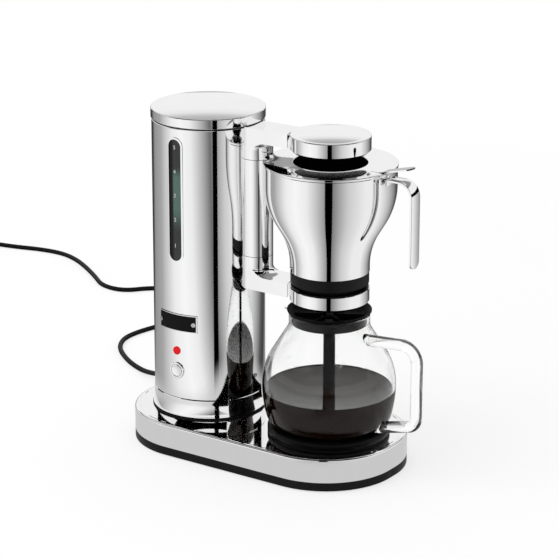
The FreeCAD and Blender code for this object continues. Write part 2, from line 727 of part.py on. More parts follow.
def build_tank():
    wall_x = tower_x + tank_r - tank_pocket
    pocket_z = tank_z + tank_pocket_height
    floor_z = tank_z + tank_wall
    outer = cyl(tank_r, tank_z, shell_top_z + tank_rim, tower_x)
    outer = outer.cut(box(wall_x, wall_x + 99, -99, 99, tank_z - 1, pocket_z))
    inner = cyl(tank_r - tank_wall, floor_z, lid_z + 9, tower_x)
    inner = inner.cut(box(wall_x - tank_wall, wall_x + 99, -99, 99, tank_z - 1, pocket_z + tank_wall))
    tank = outer.cut(inner).fuse(tube(tower_r - 0.2, tank_r - tank_wall, shell_top_z, tank_top_z, tower_x))
    tank = tank.fuse(cyl(outlet_r, tank_z - outlet_length, tank_z + 1, tower_x))
    parts["water_tank"] = tank.cut(cyl(outlet_r - 1.6, 0, floor_z + 1, tower_x)).removeSplitter()


def build_valve():
    top_z = tank_z - outlet_length + 6
    low_z = top_z - valve_height
    chamber_low = low_z + 6
    chamber_high = chamber_low + 2 * ball_r + ball_travel + 2 * slide_gap
    body = cyl(valve_r, low_z, top_z, tower_x).fuse(cyl(hose_r - hose_wall - seat_gap, low_z - 10, low_z + 1, tower_x))
    body = body.cut(cyl(outlet_r + seat_gap, top_z - 6, top_z + 1, tower_x))
    body = body.cut(cyl(ball_r * 0.6, chamber_low, top_z, tower_x))
    body = body.cut(cyl(ball_r + slide_gap, chamber_low, chamber_high, tower_x))
    for k in range(3):
        a = math.radians(120 * k)
        hole = cyl(1.0, low_z + 2, chamber_low + 1, tower_x + 2.4 * math.cos(a), 2.4 * math.sin(a))
        body = body.cut(hole)
    body = body.cut(cyl(ball_r, low_z + 2, chamber_low - 2, tower_x))
    parts["check_valve"] = body.cut(cyl(1.6, low_z - 11, low_z + 3, tower_x))
    parts["check_ball"] = Part.makeSphere(ball_r, Vector(tower_x, 0, chamber_low + slide_gap + ball_r))


def build_lid():
    inside = lid_r - lid_skin
    under_z = lid_rim_z - lid_skin
    shoulder_r = lid_r - lid_edge_r * 0.7
    parts["tower_lid"] = turned(tower_x, (0, under_z), (inside, under_z), (inside, lid_z), (lid_r, lid_z),
                                (lid_r, lid_rim_z - lid_edge_r),
                                (shoulder_r, lid_rim_z), crown(shoulder_r, lid_rim_z, lid_dome))
    plug_r = tank_r - tank_wall - slide_gap - 0.4
    low_z = lid_z - insert_depth
    parts["lid_insert"] = turned(tower_x, (0, under_z), (inside - seat_gap, under_z),
                                 (inside - seat_gap, under_z - 2), (plug_r, under_z - 2), (plug_r, low_z),
                                 (plug_r - insert_wall, low_z), (plug_r - insert_wall, under_z - 2), (0, under_z - 2))
    parts["lid_seal"] = tube(plug_r + 0.4, plug_r, low_z + 2, low_z + 4, tower_x)


# Bracket

def bracket_screw_heights():
    return (lower_arm_top_z + 7, lower_arm_top_z + 14, upper_arm_z - 12, upper_arm_z - 5)


def riser_path():
    x0 = flow_x + flow_r
    back_x = tower_x + tower_r - tower_wall - hose_r - 1.4
    front_x = column_x + 2
    arm_z = upper_arm_z + arm_height / 2
    points = [Vector(x0, flow_bend_r, flow_z + flow_r + 0.5), Vector(x0, flow_bend_r, flow_z + 45),
              Vector(back_x, 0, flow_z + 92), Vector(back_x, 0, lower_arm_z - 4),
              Vector(front_x, 0, lower_arm_z + 24), Vector(front_x, 0, arm_z),
              Vector(brew_x - head_r * 0.7, 0, arm_z)]
    return rounded_path(points, [16, 16, 14, 14, 9])


def d_section(z0, z1):
    bar = cyl(column_half, z0, z1, column_x).fuse(
        box(tower_x, column_x, -column_half, column_half, z0, z1))
    return bar.cut(cyl(tower_r, z0 - 1, z1 + 1, tower_x)).removeSplitter()


def elbow(stub_low, stub_high, arm_low, arm_high, ring_radius, corner_z):
    """An upright stub of the column's section with an arm to the ring or shower head."""
    end_x = brew_x - 5
    arm = box(tower_x, end_x, -column_half, column_half, arm_low, arm_high)
    arm = arm.cut(cyl(ring_radius + neck_gap, arm_low - 1, arm_high + 1, brew_x))
    body = d_section(stub_low, stub_high).fuse(arm).cut(cyl(tower_r, stub_low - 9, stub_high + 9, tower_x))
    body = body.removeSplitter()
    corner = [e for e in body.Edges if e.Curve.TypeId == "Part::GeomCircle"
              and abs(e.Curve.Radius - column_half) < 1e-6
              and all(abs(v.Z - corner_z) < 1e-6 for v in e.Vertexes)]
    body = body.makeFillet(elbow_fillet, corner)
    neck = box(column_x, end_x, -column_half + neck_inset, column_half - neck_inset,
               arm_low + neck_inset, arm_high - neck_inset)
    neck = neck.cut(cyl(ring_radius, arm_low - 1, arm_high + 1, brew_x))
    return body.fuse(neck).removeSplitter()


def build_bracket():
    bore = swept(riser_path(), hose_r + seat_gap)
    lower = elbow(lower_arm_z, column_low_z, lower_arm_z, lower_arm_top_z, ring_r, lower_arm_top_z)
    upper = elbow(column_high_z, upper_arm_top_z, upper_arm_z, upper_arm_top_z, head_r, upper_arm_z)
    screws = []
    head_reach = bracket_screw_r * 1.6
    wall_x = tower_x + math.sqrt((tower_r - tower_wall) ** 2 - (bracket_screw_y + head_reach) ** 2)
    for z in bracket_screw_heights():
        for y in (-bracket_screw_y, bracket_screw_y):
            shank = rod_x(bracket_screw_r, wall_x - 0.5, column_x + 6, y, z)
            screws.append(shank.fuse(rod_x(head_reach, wall_x - 1.2, wall_x, y, z)))
            hole = rod_x(bracket_screw_r + seat_gap, wall_x, column_x + 7, y, z)
            lower = lower.cut(hole)
            upper = upper.cut(hole)
    parts["lower_arm"] = lower.cut(bore)
    parts["upper_arm"] = upper.cut(bore)
    parts["column_tube"] = d_section(column_low_z, column_high_z).cut(bore)
    parts["bracket_screws"] = Part.makeCompound(screws)
    riser = swept(riser_path(), hose_r)
    parts["riser_hose"] = riser.cut(swept(riser_path(), hose_r - hose_wall))
    x0 = flow_x + flow_r
    valve_low = tank_z - outlet_length + 6 - valve_height
    drop = [Vector(tower_x, 0, valve_low - seat_gap), Vector(tower_x, 0, valve_low - 32),
            Vector(x0, -flow_bend_r, flow_z + 40), Vector(x0, -flow_bend_r, flow_z + flow_r + 0.5)]
    path = rounded_path(drop, [16, 16])
    parts["inlet_hose"] = swept(path, hose_r).cut(swept(path, hose_r - hose_wall))


# Shower head and ring

def build_head():
    top_z = head_z + head_height
    inside = head_r - head_wall
    lip = head_r - head_chamfer
    head = turned(brew_x, (0, top_z - head_wall), (inside, top_z - head_wall), (inside, head_z + head_chamfer + 1),
                  (lip - head_wall, head_z), (lip, head_z), (head_r, head_z + head_chamfer), (head_r, top_z - 1.0),
                  (arc_point(head_r - 1.0, top_z - 1.0, 1.0, 45), (head_r - 1.0, top_z)),
                  (inside, top_z), crown(inside, top_z, head_dome))
    arm_z = upper_arm_z + arm_height / 2
    parts["shower_head"] = head.cut(rod_x(hose_r + seat_gap, brew_x - head_r - 9, brew_x - head_r * 0.5, 0, arm_z))
    plate_out = lip - head_wall - seat_gap
    plate = cyl(plate_out, head_z + 0.2, head_z + 0.2 + spray_plate, brew_x)
    for count, r in ((1, 0), (6, plate_out * 0.4), (12, plate_out * 0.75)):
        for k in range(count):
            a = 2 * math.pi * k / count
            plate = plate.cut(cyl(spray_hole_r, head_z - 1, head_z + 9, brew_x + r * math.cos(a), r * math.sin(a)))
    parts["spray_plate"] = plate


def build_ring():
    parts["brew_ring"] = turned(brew_x, (ring_bore_r, ring_z), (ring_r - ring_chamfer, ring_z),
                                (ring_r, ring_z + ring_chamfer), (ring_r, ring_top_z), (ring_bore_r, ring_top_z))
    flange_r = ring_r - 0.7
    wall_r = ring_bore_r - seat_gap
    liner = turned(brew_x, (liner_outlet_r, ring_z + 1), (wall_r, ring_z + 1), (wall_r, ring_top_z),
                   (flange_r, ring_top_z), (flange_r, seat_z), (wall_r - 3, seat_z), (wall_r - 5, ring_z + 6),
                   (liner_outlet_r, ring_z + 4))
    lip = tube(flange_r, foot_step_r + 0.5, seat_z - 0.5, seat_z + liner_lip_height, brew_x)
    lip = lip.cut(box(brew_x - 12, brew_x + 99, -99, 99, 0, lid_z))
    parts["ring_liner"] = liner.fuse(lip).removeSplitter()


# Filter basket

def basket_wall_steps(inset):
    """The flared wall from foot to rim: an arc out, a straight slope and an arc back to upright."""
    a = math.radians(basket_flare)
    low_r = basket_low_r - inset
    high_r = basket_high_r - inset
    low_bend = basket_low_bend + inset
    high_bend = basket_high_bend - inset
    slope = (high_r - low_r - (low_bend + high_bend) * (1 - math.cos(a))) / math.sin(a)
    z1 = basket_z + basket_low_run
    z2 = z1 + low_bend * math.sin(a)
    z3 = z2 + slope * math.cos(a)
    z4 = z3 + high_bend * math.sin(a)
    r2 = low_r + low_bend * (1 - math.cos(a))
    r3 = r2 + slope * math.sin(a)
    half = basket_flare / 2
    return [(low_r, z1), (arc_point(low_r + low_bend, z1, low_bend, 180 - half), (r2, z2)), (r3, z3),
            (arc_point(high_r - high_bend, z4, high_bend, -half), (high_r, z4))]


def build_basket():
    floor_r = foot_bore_r + 8
    inner = basket_wall_steps(basket_wall)
    outer = basket_wall_steps(0)
    back = [inner[3][1], (inner[3][0], inner[2]), (inner[1][1]), (inner[1][0], inner[0])]
    shell = turned(brew_x, (floor_r, basket_z), (basket_low_r, basket_z), *outer, (basket_high_r, basket_top_z),
                   (basket_high_r - basket_wall, basket_top_z), *back,
                   (basket_low_r - basket_wall, basket_z + basket_wall), (floor_r, basket_z + basket_wall))
    strap_z = basket_top_z - strap_below_rim
    rivet_z = strap_z - 4
    rivet_holes = [rod_x(rivet_r + seat_gap, brew_x, brew_x + basket_high_r + 5, y, rivet_z) for y in (-4, 4)]
    for hole in rivet_holes:
        shell = shell.cut(hole)
    parts["basket_shell"] = shell
    parts["basket_foot"] = turned(brew_x, (foot_bore_r, basket_foot_z), (foot_step_r, basket_foot_z),
                                  (foot_step_r, band_foot_z), (foot_band_r, band_foot_z + 0.6),
                                  (foot_band_r, basket_z), (floor_r - 0.5, basket_z),
                                  (foot_bore_r, basket_z - 4))
    top_z = basket_top_z - filter_top_drop
    cone_r = basket_high_r - basket_wall - 0.6
    spout_r = foot_bore_r - seat_gap
    cone_z = basket_z + basket_wall + 5
    parts["filter_holder"] = turned(brew_x, (spout_r, basket_foot_z + 2), (spout_r, cone_z),
                                    (cone_r - 4, top_z - 12), (cone_r, top_z - 4), (cone_r, top_z),
                                    (cone_r - filter_wall, top_z), (cone_r - filter_wall, top_z - 4),
                                    (cone_r - 4 - filter_wall, top_z - 12), (spout_r - 1.6, cone_z + 1),
                                    (spout_r - 1.6, basket_foot_z + 2))

    half = strap_thickness / 2
    bend_z = strap_z - strap_bend_r
    bend_x = brew_x + strap_reach - strap_bend_r
    end_z = basket_top_z - strap_drop
    reach = brew_x + strap_reach

    def bend(r, degrees):
        return arc_point(bend_x, bend_z, r, degrees)
    wire = profile((brew_x + basket_high_r - 5, strap_z + half), (bend_x, strap_z + half),
                   (bend(strap_bend_r + half, 45), (reach + half, bend_z)), (reach + half, end_z),
                   (reach - half, end_z), (reach - half, bend_z),
                   (bend(strap_bend_r - half, 45), (bend_x, strap_z - half)),
                   (brew_x + basket_high_r - 5, strap_z - half))
    strap = Part.Face(wire).extrude(Vector(0, strap_width, 0))
    strap.translate(Vector(0, -strap_width / 2, 0))
    tail = [e for e in strap.Edges if abs(e.Length - strap_thickness) < 1e-6
            and all(abs(v.Z - end_z) < 1e-6 for v in e.Vertexes)]
    strap = strap.makeFillet(strap_width / 2 - 0.4, tail)
    pad = box(brew_x, brew_x + basket_high_r + strap_thickness, -strap_width / 2, strap_width / 2,
              strap_z - 7, strap_z + half)
    strap = strap.fuse(pad).cut(cyl(basket_high_r, 0, lid_z, brew_x))
    for hole in rivet_holes:
        strap = strap.cut(hole)
    parts["basket_handle"] = strap.removeSplitter()
    rivets = []
    for y in (-4, 4):
        wall_x = brew_x + math.sqrt((basket_high_r - basket_wall) ** 2 - (abs(y) + rivet_r) ** 2)
        shank = rod_x(rivet_r, wall_x, brew_x + basket_high_r + strap_thickness + 0.2, y, rivet_z)
        rivets.append(shank.fuse(rod_x(rivet_r + 1, brew_x + basket_high_r + strap_thickness,
                                       brew_x + basket_high_r + strap_thickness + 0.7, y, rivet_z)))
    parts["handle_rivets"] = Part.makeCompound(rivets)


def build_basket_lid():
    skirt_r = basket_high_r - basket_wall - 0.5
    disc = turned(brew_x, (cover_hole_r, disc_z), (skirt_r - 1.2, disc_z), (skirt_r - 1.2, disc_z - 3), (skirt_r, disc_z - 3),
                  (skirt_r, disc_z), (cover_r - 0.6, disc_z), (cover_r, disc_z + 0.6), (cover_r, disc_top_z - 0.6),
                  (cover_r - 0.6, disc_top_z), (cover_hole_r, disc_top_z))
    root_x = brew_x + cover_r - 16
    tip_x = brew_x + tab_reach
    tip_z = disc_top_z + tab_rise
    wire = profile((root_x, disc_top_z - 0.3), (root_x + 8, disc_top_z - 0.3),
                   ((root_x + 16, disc_top_z + 1.0), (root_x + 22, disc_top_z + 2.6)), (tip_x, tip_z - tab_thickness),
                   (tip_x, tip_z), (root_x + 21.6, disc_top_z + 2.6 + tab_thickness),
                   ((root_x + 15, disc_top_z + 1.0 + tab_thickness), (root_x + 6, disc_top_z + tab_thickness * 0.6)),
                   (root_x, disc_top_z + tab_thickness * 0.3))
    tab = Part.Face(wire).extrude(Vector(0, tab_width, 0))
    tab.translate(Vector(0, -tab_width / 2, 0))
    round_x = tip_x - tab_width / 2
    plan = box(root_x - 1, round_x, -tab_width, tab_width, 0, lid_z).fuse(cyl(tab_width / 2, 0, lid_z, round_x))
    tab = tab.common(plan)
    parts["basket_lid"] = disc.fuse(tab).removeSplitter()


# Carafe

def carafe_steps(inset):
    """The carafe's wall from the bottom's edge to the neck, drawn in by an inset."""
    a = math.radians(glass_slope)
    belly_z = glass_z + glass_belly
    wide = glass_r - inset
    lower = glass_lower_bend - inset
    corner = glass_corner_r - inset
    corner_z = glass_z + glass_corner_r
    lower_x = wide - lower
    corner_lower = math.asin((belly_z - corner_z) / (glass_lower_bend - glass_corner_r))
    corner_x0 = lower_x + (lower - corner) * math.cos(corner_lower)
    low = math.degrees(corner_lower)
    shoulder = glass_shoulder_r - inset
    neck = glass_neck_bend + inset
    neck_r = glass_neck_r - inset
    z1 = belly_z + shoulder * math.sin(a)
    r1 = wide - shoulder * (1 - math.cos(a))
    run = (r1 - neck_r - neck * (1 - math.cos(a))) / math.sin(a)
    r2 = r1 - run * math.sin(a)
    z2 = z1 + run * math.cos(a)
    z3 = z2 + neck * math.sin(a)
    half = glass_slope / 2
    return [(corner_x0, glass_z + inset),
            (arc_point(corner_x0, corner_z, corner, -45 - low / 2), arc_point(corner_x0, corner_z, corner, -low)),
            (arc_point(lower_x, belly_z, lower, -low / 2), (wide, belly_z)),
            (arc_point(wide - shoulder, belly_z, shoulder, half), (r1, z1)), (r2, z2),
            (arc_point(neck_r + neck, z3, neck, 180 + half), (neck_r, z3)), (neck_r, z3 + glass_neck_run)]


def build_carafe():
    outer = carafe_steps(0)
    body = turned(brew_x, (0, glass_z), *outer, (0, rim_z))
    inner_steps = carafe_steps(glass_wall)
    hollow = turned(brew_x, (0, glass_z + glass_wall), *inner_steps[:-1], (inner_steps[-1][0], rim_z + 5), (0, rim_z + 5))
    root = Vector(brew_x - glass_neck_r + 9, 0, rim_z - 9)
    tip = Vector(brew_x - spout_reach, 0, rim_z - 0.5)
    axis = tip - root
    spout = Part.makeCone(spout_root_r, spout_tip_r, axis.Length, root, axis)
    channel = Part.makeCone(spout_root_r - glass_wall, spout_tip_r - glass_wall * 0.7, axis.Length, root, axis)
    nib = Part.makeCone(spout_tip_r - glass_wall * 0.7, 0.6, 4, tip, axis)
    above = box(brew_x - 99, brew_x + 99, -99, 99, rim_z, rim_z + 99)
    glass = body.fuse(spout).cut(hollow).cut(channel).cut(nib).cut(above)
    parts["carafe_glass"] = glass.removeSplitter()

    top_z = glass_z + rod_top
    corner_z = glass_z + rod_corner
    out_x = brew_x + rod_reach
    points = [Vector(brew_x + glass_neck_r * 0.6, 0, top_z - 4), Vector(out_x, 0, top_z + 1.5),
              Vector(out_x, 0, corner_z), Vector(brew_x + glass_r * 0.84, 0, glass_z + rod_foot)]
    rod = swept(rounded_path(points, [rod_bend_r, rod_bend_r * 0.6]), rod_r)
    parts["carafe_handle"] = rod.cut(body)


def build_stopper():
    low_z = stopper_z
    top_z = stopper_top_z
    neck_in = glass_neck_r - glass_wall
    plug_r = neck_in - 1.4
    depth_z = low_z - stopper_depth
    hub_r = stir_tube_r + stopper_wall
    dish_z = low_z - 5
    stopper = turned(brew_x, (stir_tube_r - stir_tube_wall, depth_z + 2), (hub_r, depth_z + 2), (hub_r, dish_z - stopper_wall),
                     (plug_r - stopper_wall, dish_z - stopper_wall + 1), (plug_r - stopper_wall, depth_z), (plug_r, depth_z),
                     (plug_r, low_z), (neck_in + 0.8, low_z), (stopper_flange_r, top_z - 1.2), (stopper_flange_r, top_z),
                     (stopper_flange_r - 1.6, top_z), (plug_r - 3, dish_z + 1.5), (hub_r, dish_z),
                     (stir_tube_r - stir_tube_wall, dish_z - 1))
    for k in range(6):
        rib = box(hub_r, plug_r - 2, -stopper_rib / 2, stopper_rib / 2, dish_z - 1, low_z - 1)
        rib.rotate(Vector(0, 0, 0), up, 60 * k + 30)
        rib.translate(Vector(brew_x, 0, 0))
        stopper = stopper.fuse(rib)
    stopper = stopper.cut(cyl(stir_tube_r + seat_gap, depth_z - 9, depth_z + 4, brew_x))
    parts["carafe_lid"] = stopper.removeSplitter()
    parts["carafe_lid_seal"] = turned(brew_x, (plug_r + seat_gap, low_z - 1), (plug_r + seat_gap, low_z - 1 - seal_band),
                                      (plug_r + 0.6, low_z - 1 - seal_band), (neck_in - slide_gap, low_z - 5),
                                      (plug_r + 0.6, low_z - 4), (neck_in - slide_gap, low_z - 2), (plug_r + 0.6, low_z - 1))
    foot_z_tube = glass_z + glass_wall + stir_tube_foot
    parts["stir_tube"] = tube(stir_tube_r, stir_tube_r - stir_tube_wall, foot_z_tube, depth_z + 4, brew_x)


# Cord

def cord_exit():
    a = math.radians(cord_exit_angle)
    outward = Vector(math.cos(a), math.sin(a), 0)
    return Vector(base_x - corner_x, corner_y, cord_exit_z) + outward * base_corner_r, outward


def cord_route():
    """The cord's corner points from the gland to the coil, chosen by hand, from the base's centre."""
    exit_point, outward = cord_exit()
    floor = cord_d / 2 + 0.05
    start = exit_point + outward * gland_length
    chosen = [(-213.0, 86.0, 8.0), (-241.0, 98.0, floor), (-276.0, 116.0, floor), (-312.0, 147.0, floor),
              (-326.0, 187.0, floor), (-303.0, 264.0, floor), (-304.0, 305.0, floor), (-331.0, 340.0, floor),
              (-370.0, 352.0, floor), (-406.0, 335.0, floor), (-427.0, 306.0, floor), (-461.0, 307.5, floor),
              (-489.0, 330.0, floor), (-521.0, 352.5, floor), (-552.0, 371.0, floor), (-582.0, 381.0, floor),
              (-616.0, 378.0, floor), (-650.0, 367.5, floor)]
    a = math.radians(coil_heading)
    lead = coil_start() - Vector(math.cos(a), math.sin(a), 0) * coil_lead
    route = [start, start + outward * 22] + [Vector(base_x + x, y, z) for x, y, z in chosen]
    return route + [lead, coil_start()]


def coil_start():
    a = math.radians(coil_heading - 90)
    return coil_centre + Vector(math.cos(a), math.sin(a), 0) * coil_r


def coil_ends():
    """Where each half turn begins: spirals in on the floor, climbs once and spirals out on top."""
    a = math.radians(coil_heading - 90)
    across = Vector(math.cos(a), math.sin(a), 0)
    climb = coil_half_turns // 2
    place = coil_start()
    ends = [place]
    radius = coil_r
    for k in range(coil_half_turns):
        side = -1 if k % 2 == 0 else 1
        place = place + across * (side * 2 * radius)
        if k == climb:
            place = place + up * coil_pitch
        ends.append(place)
        radius = radius - coil_pitch / 2 if k < climb else radius + coil_pitch / 2
    return ends, across


def build_cord():
    exit_point, outward = cord_exit()
    wall = exit_point - outward * (cover_wall + 3)
    gland = Part.makeCone(gland_flange_r * 0.8, cord_d / 2 + 1, gland_length, exit_point, outward)
    gland = gland.fuse(Part.makeCylinder(gland_flange_r, gland_flange + 2, exit_point - outward * 2, outward))
    gland = gland.cut(outline_prism(0, 0, deck_z))
    gland = gland.fuse(Part.makeCylinder(cord_d / 2, cover_wall + 4, wall, outward))
    parts["cord_gland"] = gland.removeSplitter()

    route = cord_route()
    radii = cord_radii(route)
    print("cord bend radii", [round(r, 1) for r in radii])
    path = rounded_path(route, radii)
    parts["power_cord"] = swept(path, cord_d / 2)
    section = math.pi * cord_d ** 2 / 4
    print("cord length", round(path.Length, 1), "volume ratio",
          round(parts["power_cord"].Volume / (section * path.Length), 4))

    ends, across = coil_ends()
    run = Vector(-across.y, across.x, 0)
    edges = []
    for k in range(coil_half_turns):
        heading = run if k % 2 == 0 else run * -1
        edges.extend(biarc(ends[k], heading, ends[k + 1], heading * -1))
    last = run if coil_half_turns % 2 == 0 else run * -1
    coil_end = ends[-1] + last * cord_d * 4
    edges.append(Part.LineSegment(ends[-1], coil_end).toShape())
    coil_path = Part.Wire(edges)
    parts["cord_coil"] = swept(coil_path, cord_d / 2)
    print("coil length", round(coil_path.Length, 1), "volume ratio",
          round(parts["cord_coil"].Volume / (section * coil_path.Length), 4))
    print("coil self gap", round(self_gap(coil_path), 2))

    inner = coil_r - coil_pitch * (coil_half_turns // 2) / 2
    tie_in = inner - cord_d / 2 - 0.8
    tie_out = coil_r + cord_d / 2 + 0.5
    centre = coil_centre
    high = coil_centre.z + coil_pitch + cord_d / 2 + 0.4
    tie = Part.makeBox(tie_out - tie_in + 2 * tie_strap, tie_width, high + tie_strap - 0.05,
                       Vector(tie_in - tie_strap, -tie_width / 2, 0.05))
    hole = Part.makeBox(tie_out - tie_in, tie_width + 2, high - tie_strap - 0.05, Vector(tie_in, -tie_width / 2 - 1, tie_strap + 0.05))
    tie = tie.cut(hole)
    tie.rotate(Vector(0, 0, 0), up, coil_heading)
    tie.translate(Vector(centre.x, centre.y, 0))
    parts["cord_tie"] = tie

    axis_z = coil_end.z
    side = Vector(-last.y, last.x, 0)
    boot = Part.makeCone(cord_d / 2 + 0.8, cord_d / 2 + 3, 16, coil_end, last)
    face = coil_end + last * 16
    corners = []
    for s, h in ((-1, -1), (1, -1), (1, 1), (-1, 1)):
        corners.append(face + side * (s * plug_width / 2) + up * (h * (axis_z - 0.05)))
    block = Part.Face(Part.makePolygon(corners + corners[:1])).extrude(last * plug_length)
    upright = [e for e in block.Edges if abs(e.Length - plug_length) < 1e-6]
    block = block.makeFillet(4.0, upright)
    parts["plug_body"] = block.fuse(boot).removeSplitter()
    nose = face + last * plug_length
    blades = []
    for s in (-1, 1):
        at = nose + side * (s * 6.35)
        blade = Part.makeBox(blade_length, 1.5, 6.3, Vector(0, -0.75, -3.15 + 2))
        blade.rotate(Vector(0, 0, 0), up, math.degrees(math.atan2(last.y, last.x)))
        blade.translate(at)
        blades.append(blade)
    earth = Part.makeCylinder(2.4, blade_length + 3, nose - up * 5.4, last)
    parts["plug_pins"] = Part.makeCompound(blades + [earth])


def self_gap(path):
    """The least gap between stretches of the coil's tube that aren't neighbours along it."""
    points = path.discretize(Distance=2.0)
    skip = int(math.pi * coil_r / 2.0)
    least = min(points[i].distanceToPoint(points[j])
                for i in range(len(points)) for j in range(i + skip, len(points)))
    return least - cord_d


def main():
    for build in (build_base, build_hotplate, build_flow_heater, build_tower, build_front, build_tank, build_valve,
                  build_lid, build_bracket, build_head, build_ring, build_basket, build_basket_lid, build_carafe,
                  build_stopper, build_cord):
        build()
    os.makedirs("parts", exist_ok=True)
    for node, shape in parts.items():
        shape.exportStep(os.path.join("parts", node + ".step"))
    print(len(parts), "nodes")


main()
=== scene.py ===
import bmesh
import bpy
import json
import math
from mathutils import Matrix, Vector


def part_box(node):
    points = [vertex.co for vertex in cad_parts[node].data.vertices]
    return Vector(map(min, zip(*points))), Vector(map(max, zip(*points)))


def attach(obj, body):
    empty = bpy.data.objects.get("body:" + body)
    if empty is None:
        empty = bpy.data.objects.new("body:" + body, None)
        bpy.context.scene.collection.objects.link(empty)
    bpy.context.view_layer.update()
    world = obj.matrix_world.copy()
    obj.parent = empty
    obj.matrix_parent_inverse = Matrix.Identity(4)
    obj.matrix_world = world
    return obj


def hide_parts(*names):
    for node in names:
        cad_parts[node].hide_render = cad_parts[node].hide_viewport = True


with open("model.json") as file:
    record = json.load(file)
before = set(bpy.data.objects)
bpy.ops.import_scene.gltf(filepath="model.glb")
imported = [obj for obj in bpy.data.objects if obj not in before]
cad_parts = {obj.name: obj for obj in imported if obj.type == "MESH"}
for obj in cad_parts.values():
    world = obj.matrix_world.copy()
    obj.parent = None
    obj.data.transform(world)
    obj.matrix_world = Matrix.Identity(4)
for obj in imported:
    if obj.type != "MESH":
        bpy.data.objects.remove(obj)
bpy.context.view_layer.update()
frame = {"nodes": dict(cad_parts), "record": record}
scene = bpy.context.scene
scene.view_settings.view_transform = "Standard"
record = frame["record"]
slotOf = {row["node"]: row["material_slot"] for row in record["subparts"]}
bodyOf = {node: body for body, nodes in record["behaviour"]["bodies"].items() for node in nodes}
mm = 0.001
crisp = 0.3   # small chamfer on turned edges, in mm


def boxMid(node, axis):
    low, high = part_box(node)
    return (low[axis] + high[axis]) / 2 / mm


def heights(node):
    low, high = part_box(node)
    return low[2] / mm, high[2] / mm


def roundRadius(node):
    low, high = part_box(node)
    return (high[1] - low[1]) / 2 / mm


def addThing(name, data):
    thing = bpy.data.objects.new(name, data)
    scene.collection.objects.link(thing)
    return thing


baseX = boxMid("base_cover", 0)   # the three upright axes, in mm
towerX = boxMid("tower_foot", 0)
brewX = boxMid("hotplate", 0)
print("frame loaded, tower at", round(towerX, 1), "brew axis at", round(brewX, 1))

# Camera, solved from the base, tower and basket edges
photoCamera = {"lens": 166.72, "sensor": 36.0, "place": (1412.77, -2048.69, 1007.84),
               "pitch": 18.40, "azimuth": 34.59, "shift": (0.01805, 0.00243)}


def placeCamera(c):
    data = bpy.data.cameras.new("photoCamera")
    data.lens = c["lens"]
    data.sensor_width = c["sensor"]
    data.shift_x, data.shift_y = c["shift"]
    data.clip_start, data.clip_end = 0.05, 50
    camera = addThing("photoCamera", data)
    x, y, z = c["place"]
    camera.location = ((x + baseX) * mm, y * mm, z * mm)
    camera.rotation_euler = (math.radians(90 - c["pitch"]), 0, math.radians(c["azimuth"]))
    scene.camera = camera


placeCamera(photoCamera)


# A socket that takes part in Python sums
class Shade:
    def __init__(self, tree, socket=None):
        self.tree = tree
        self.socket = socket

    def link(self, value, target):
        if isinstance(value, Shade):
            self.tree.links.new(value.socket, target)
        else:
            target.default_value = value

    def node(self, kind, settings=None, sockets=None, out=0):
        made = self.tree.nodes.new(kind)
        for key, value in (settings or {}).items():
            if key == "stops":
                ramp = made.color_ramp
                while len(ramp.elements) < len(value):
                    ramp.elements.new(0.5)
                for element, (place, level) in zip(ramp.elements, value):
                    element.position = place
                    element.color = (level, level, level, 1)
            else:
                setattr(made, key, value)
        for key, value in (sockets or {}).items():
            self.link(value, made.inputs[key])
        return Shade(self.tree, made.outputs[out])

    def maths(self, operation, *values):
        return self.node("ShaderNodeMath", {"operation": operation}, dict(enumerate(values)))

    def vector(self, operation, *values, out=0):
        return self.node("ShaderNodeVectorMath", {"operation": operation}, dict(enumerate(values)), out)

    def part(self, axis):
        return self.node("ShaderNodeSeparateXYZ", None, {0: self}, axis)

    def __add__(self, other):
        return self.maths("ADD", self, other)

    def __sub__(self, other):
        return self.maths("SUBTRACT", self, other)

    def __rsub__(self, other):
        return self.maths("SUBTRACT", other, self)

    def __mul__(self, other):
        return self.maths("MULTIPLY", self, other)

    def __truediv__(self, other):
        return self.maths("DIVIDE", self, other)

    __radd__ = __add__
    __rmul__ = __mul__


def newFinish(name, **fixed):
    finish = bpy.data.materials.new(name)
    finish.use_nodes = True
    tree = finish.node_tree
    shader = tree.nodes["Principled BSDF"]
    for key, value in fixed.items():
        shader.inputs[key.replace("_", " ")].default_value = value
    return finish, Shade(tree), shader


def objectPlace(s):
    return s.node("ShaderNodeTexCoord", out="Object")


def speckle(s, scale, detail=3.0, stretch=(1, 1, 1)):
    place = s.node("ShaderNodeMapping", None, {"Vector": objectPlace(s), "Scale": stretch})
    return s.node("ShaderNodeTexNoise", None, {"Vector": place, "Scale": scale, "Detail": detail})


def blend(s, mask, first, second):
    return s.node("ShaderNodeMix", {"data_type": "RGBA"}, {"Factor": mask, 6: first, 7: second}, out=2)


def tinted(s, mask, dark, light):
    return blend(s, mask, (*dark, 1), (*light, 1))


def ranged(s, value, low, high):
    return s.node("ShaderNodeMapRange", {"interpolation_type": "SMOOTHSTEP"},
                  {"Value": value, "From Min": low, "From Max": high})


def bumped(s, height, depth, strength=1.0):
    return s.node("ShaderNodeBump", None, {"Height": height, "Distance": depth * mm, "Strength": strength})


wiped = (1, 1, 0.15)   # smears run up and down
steelDark = (0.90, 0.90, 0.905)
steelLight = (0.95, 0.95, 0.955)


def mirrorSteel(name, tint, rough):
    finish, s, shader = newFinish(name, Metallic=1.0)
    smear = speckle(s, 60, 4, wiped)
    s.link(tinted(s, smear, [t * 0.95 for t in tint], tint), shader.inputs["Base Color"])
    s.link(rough + smear * 0.035, shader.inputs["Roughness"])
    s.link(bumped(s, speckle(s, 9, 1), 0.02, 0.25), shader.inputs["Normal"])
    return finish


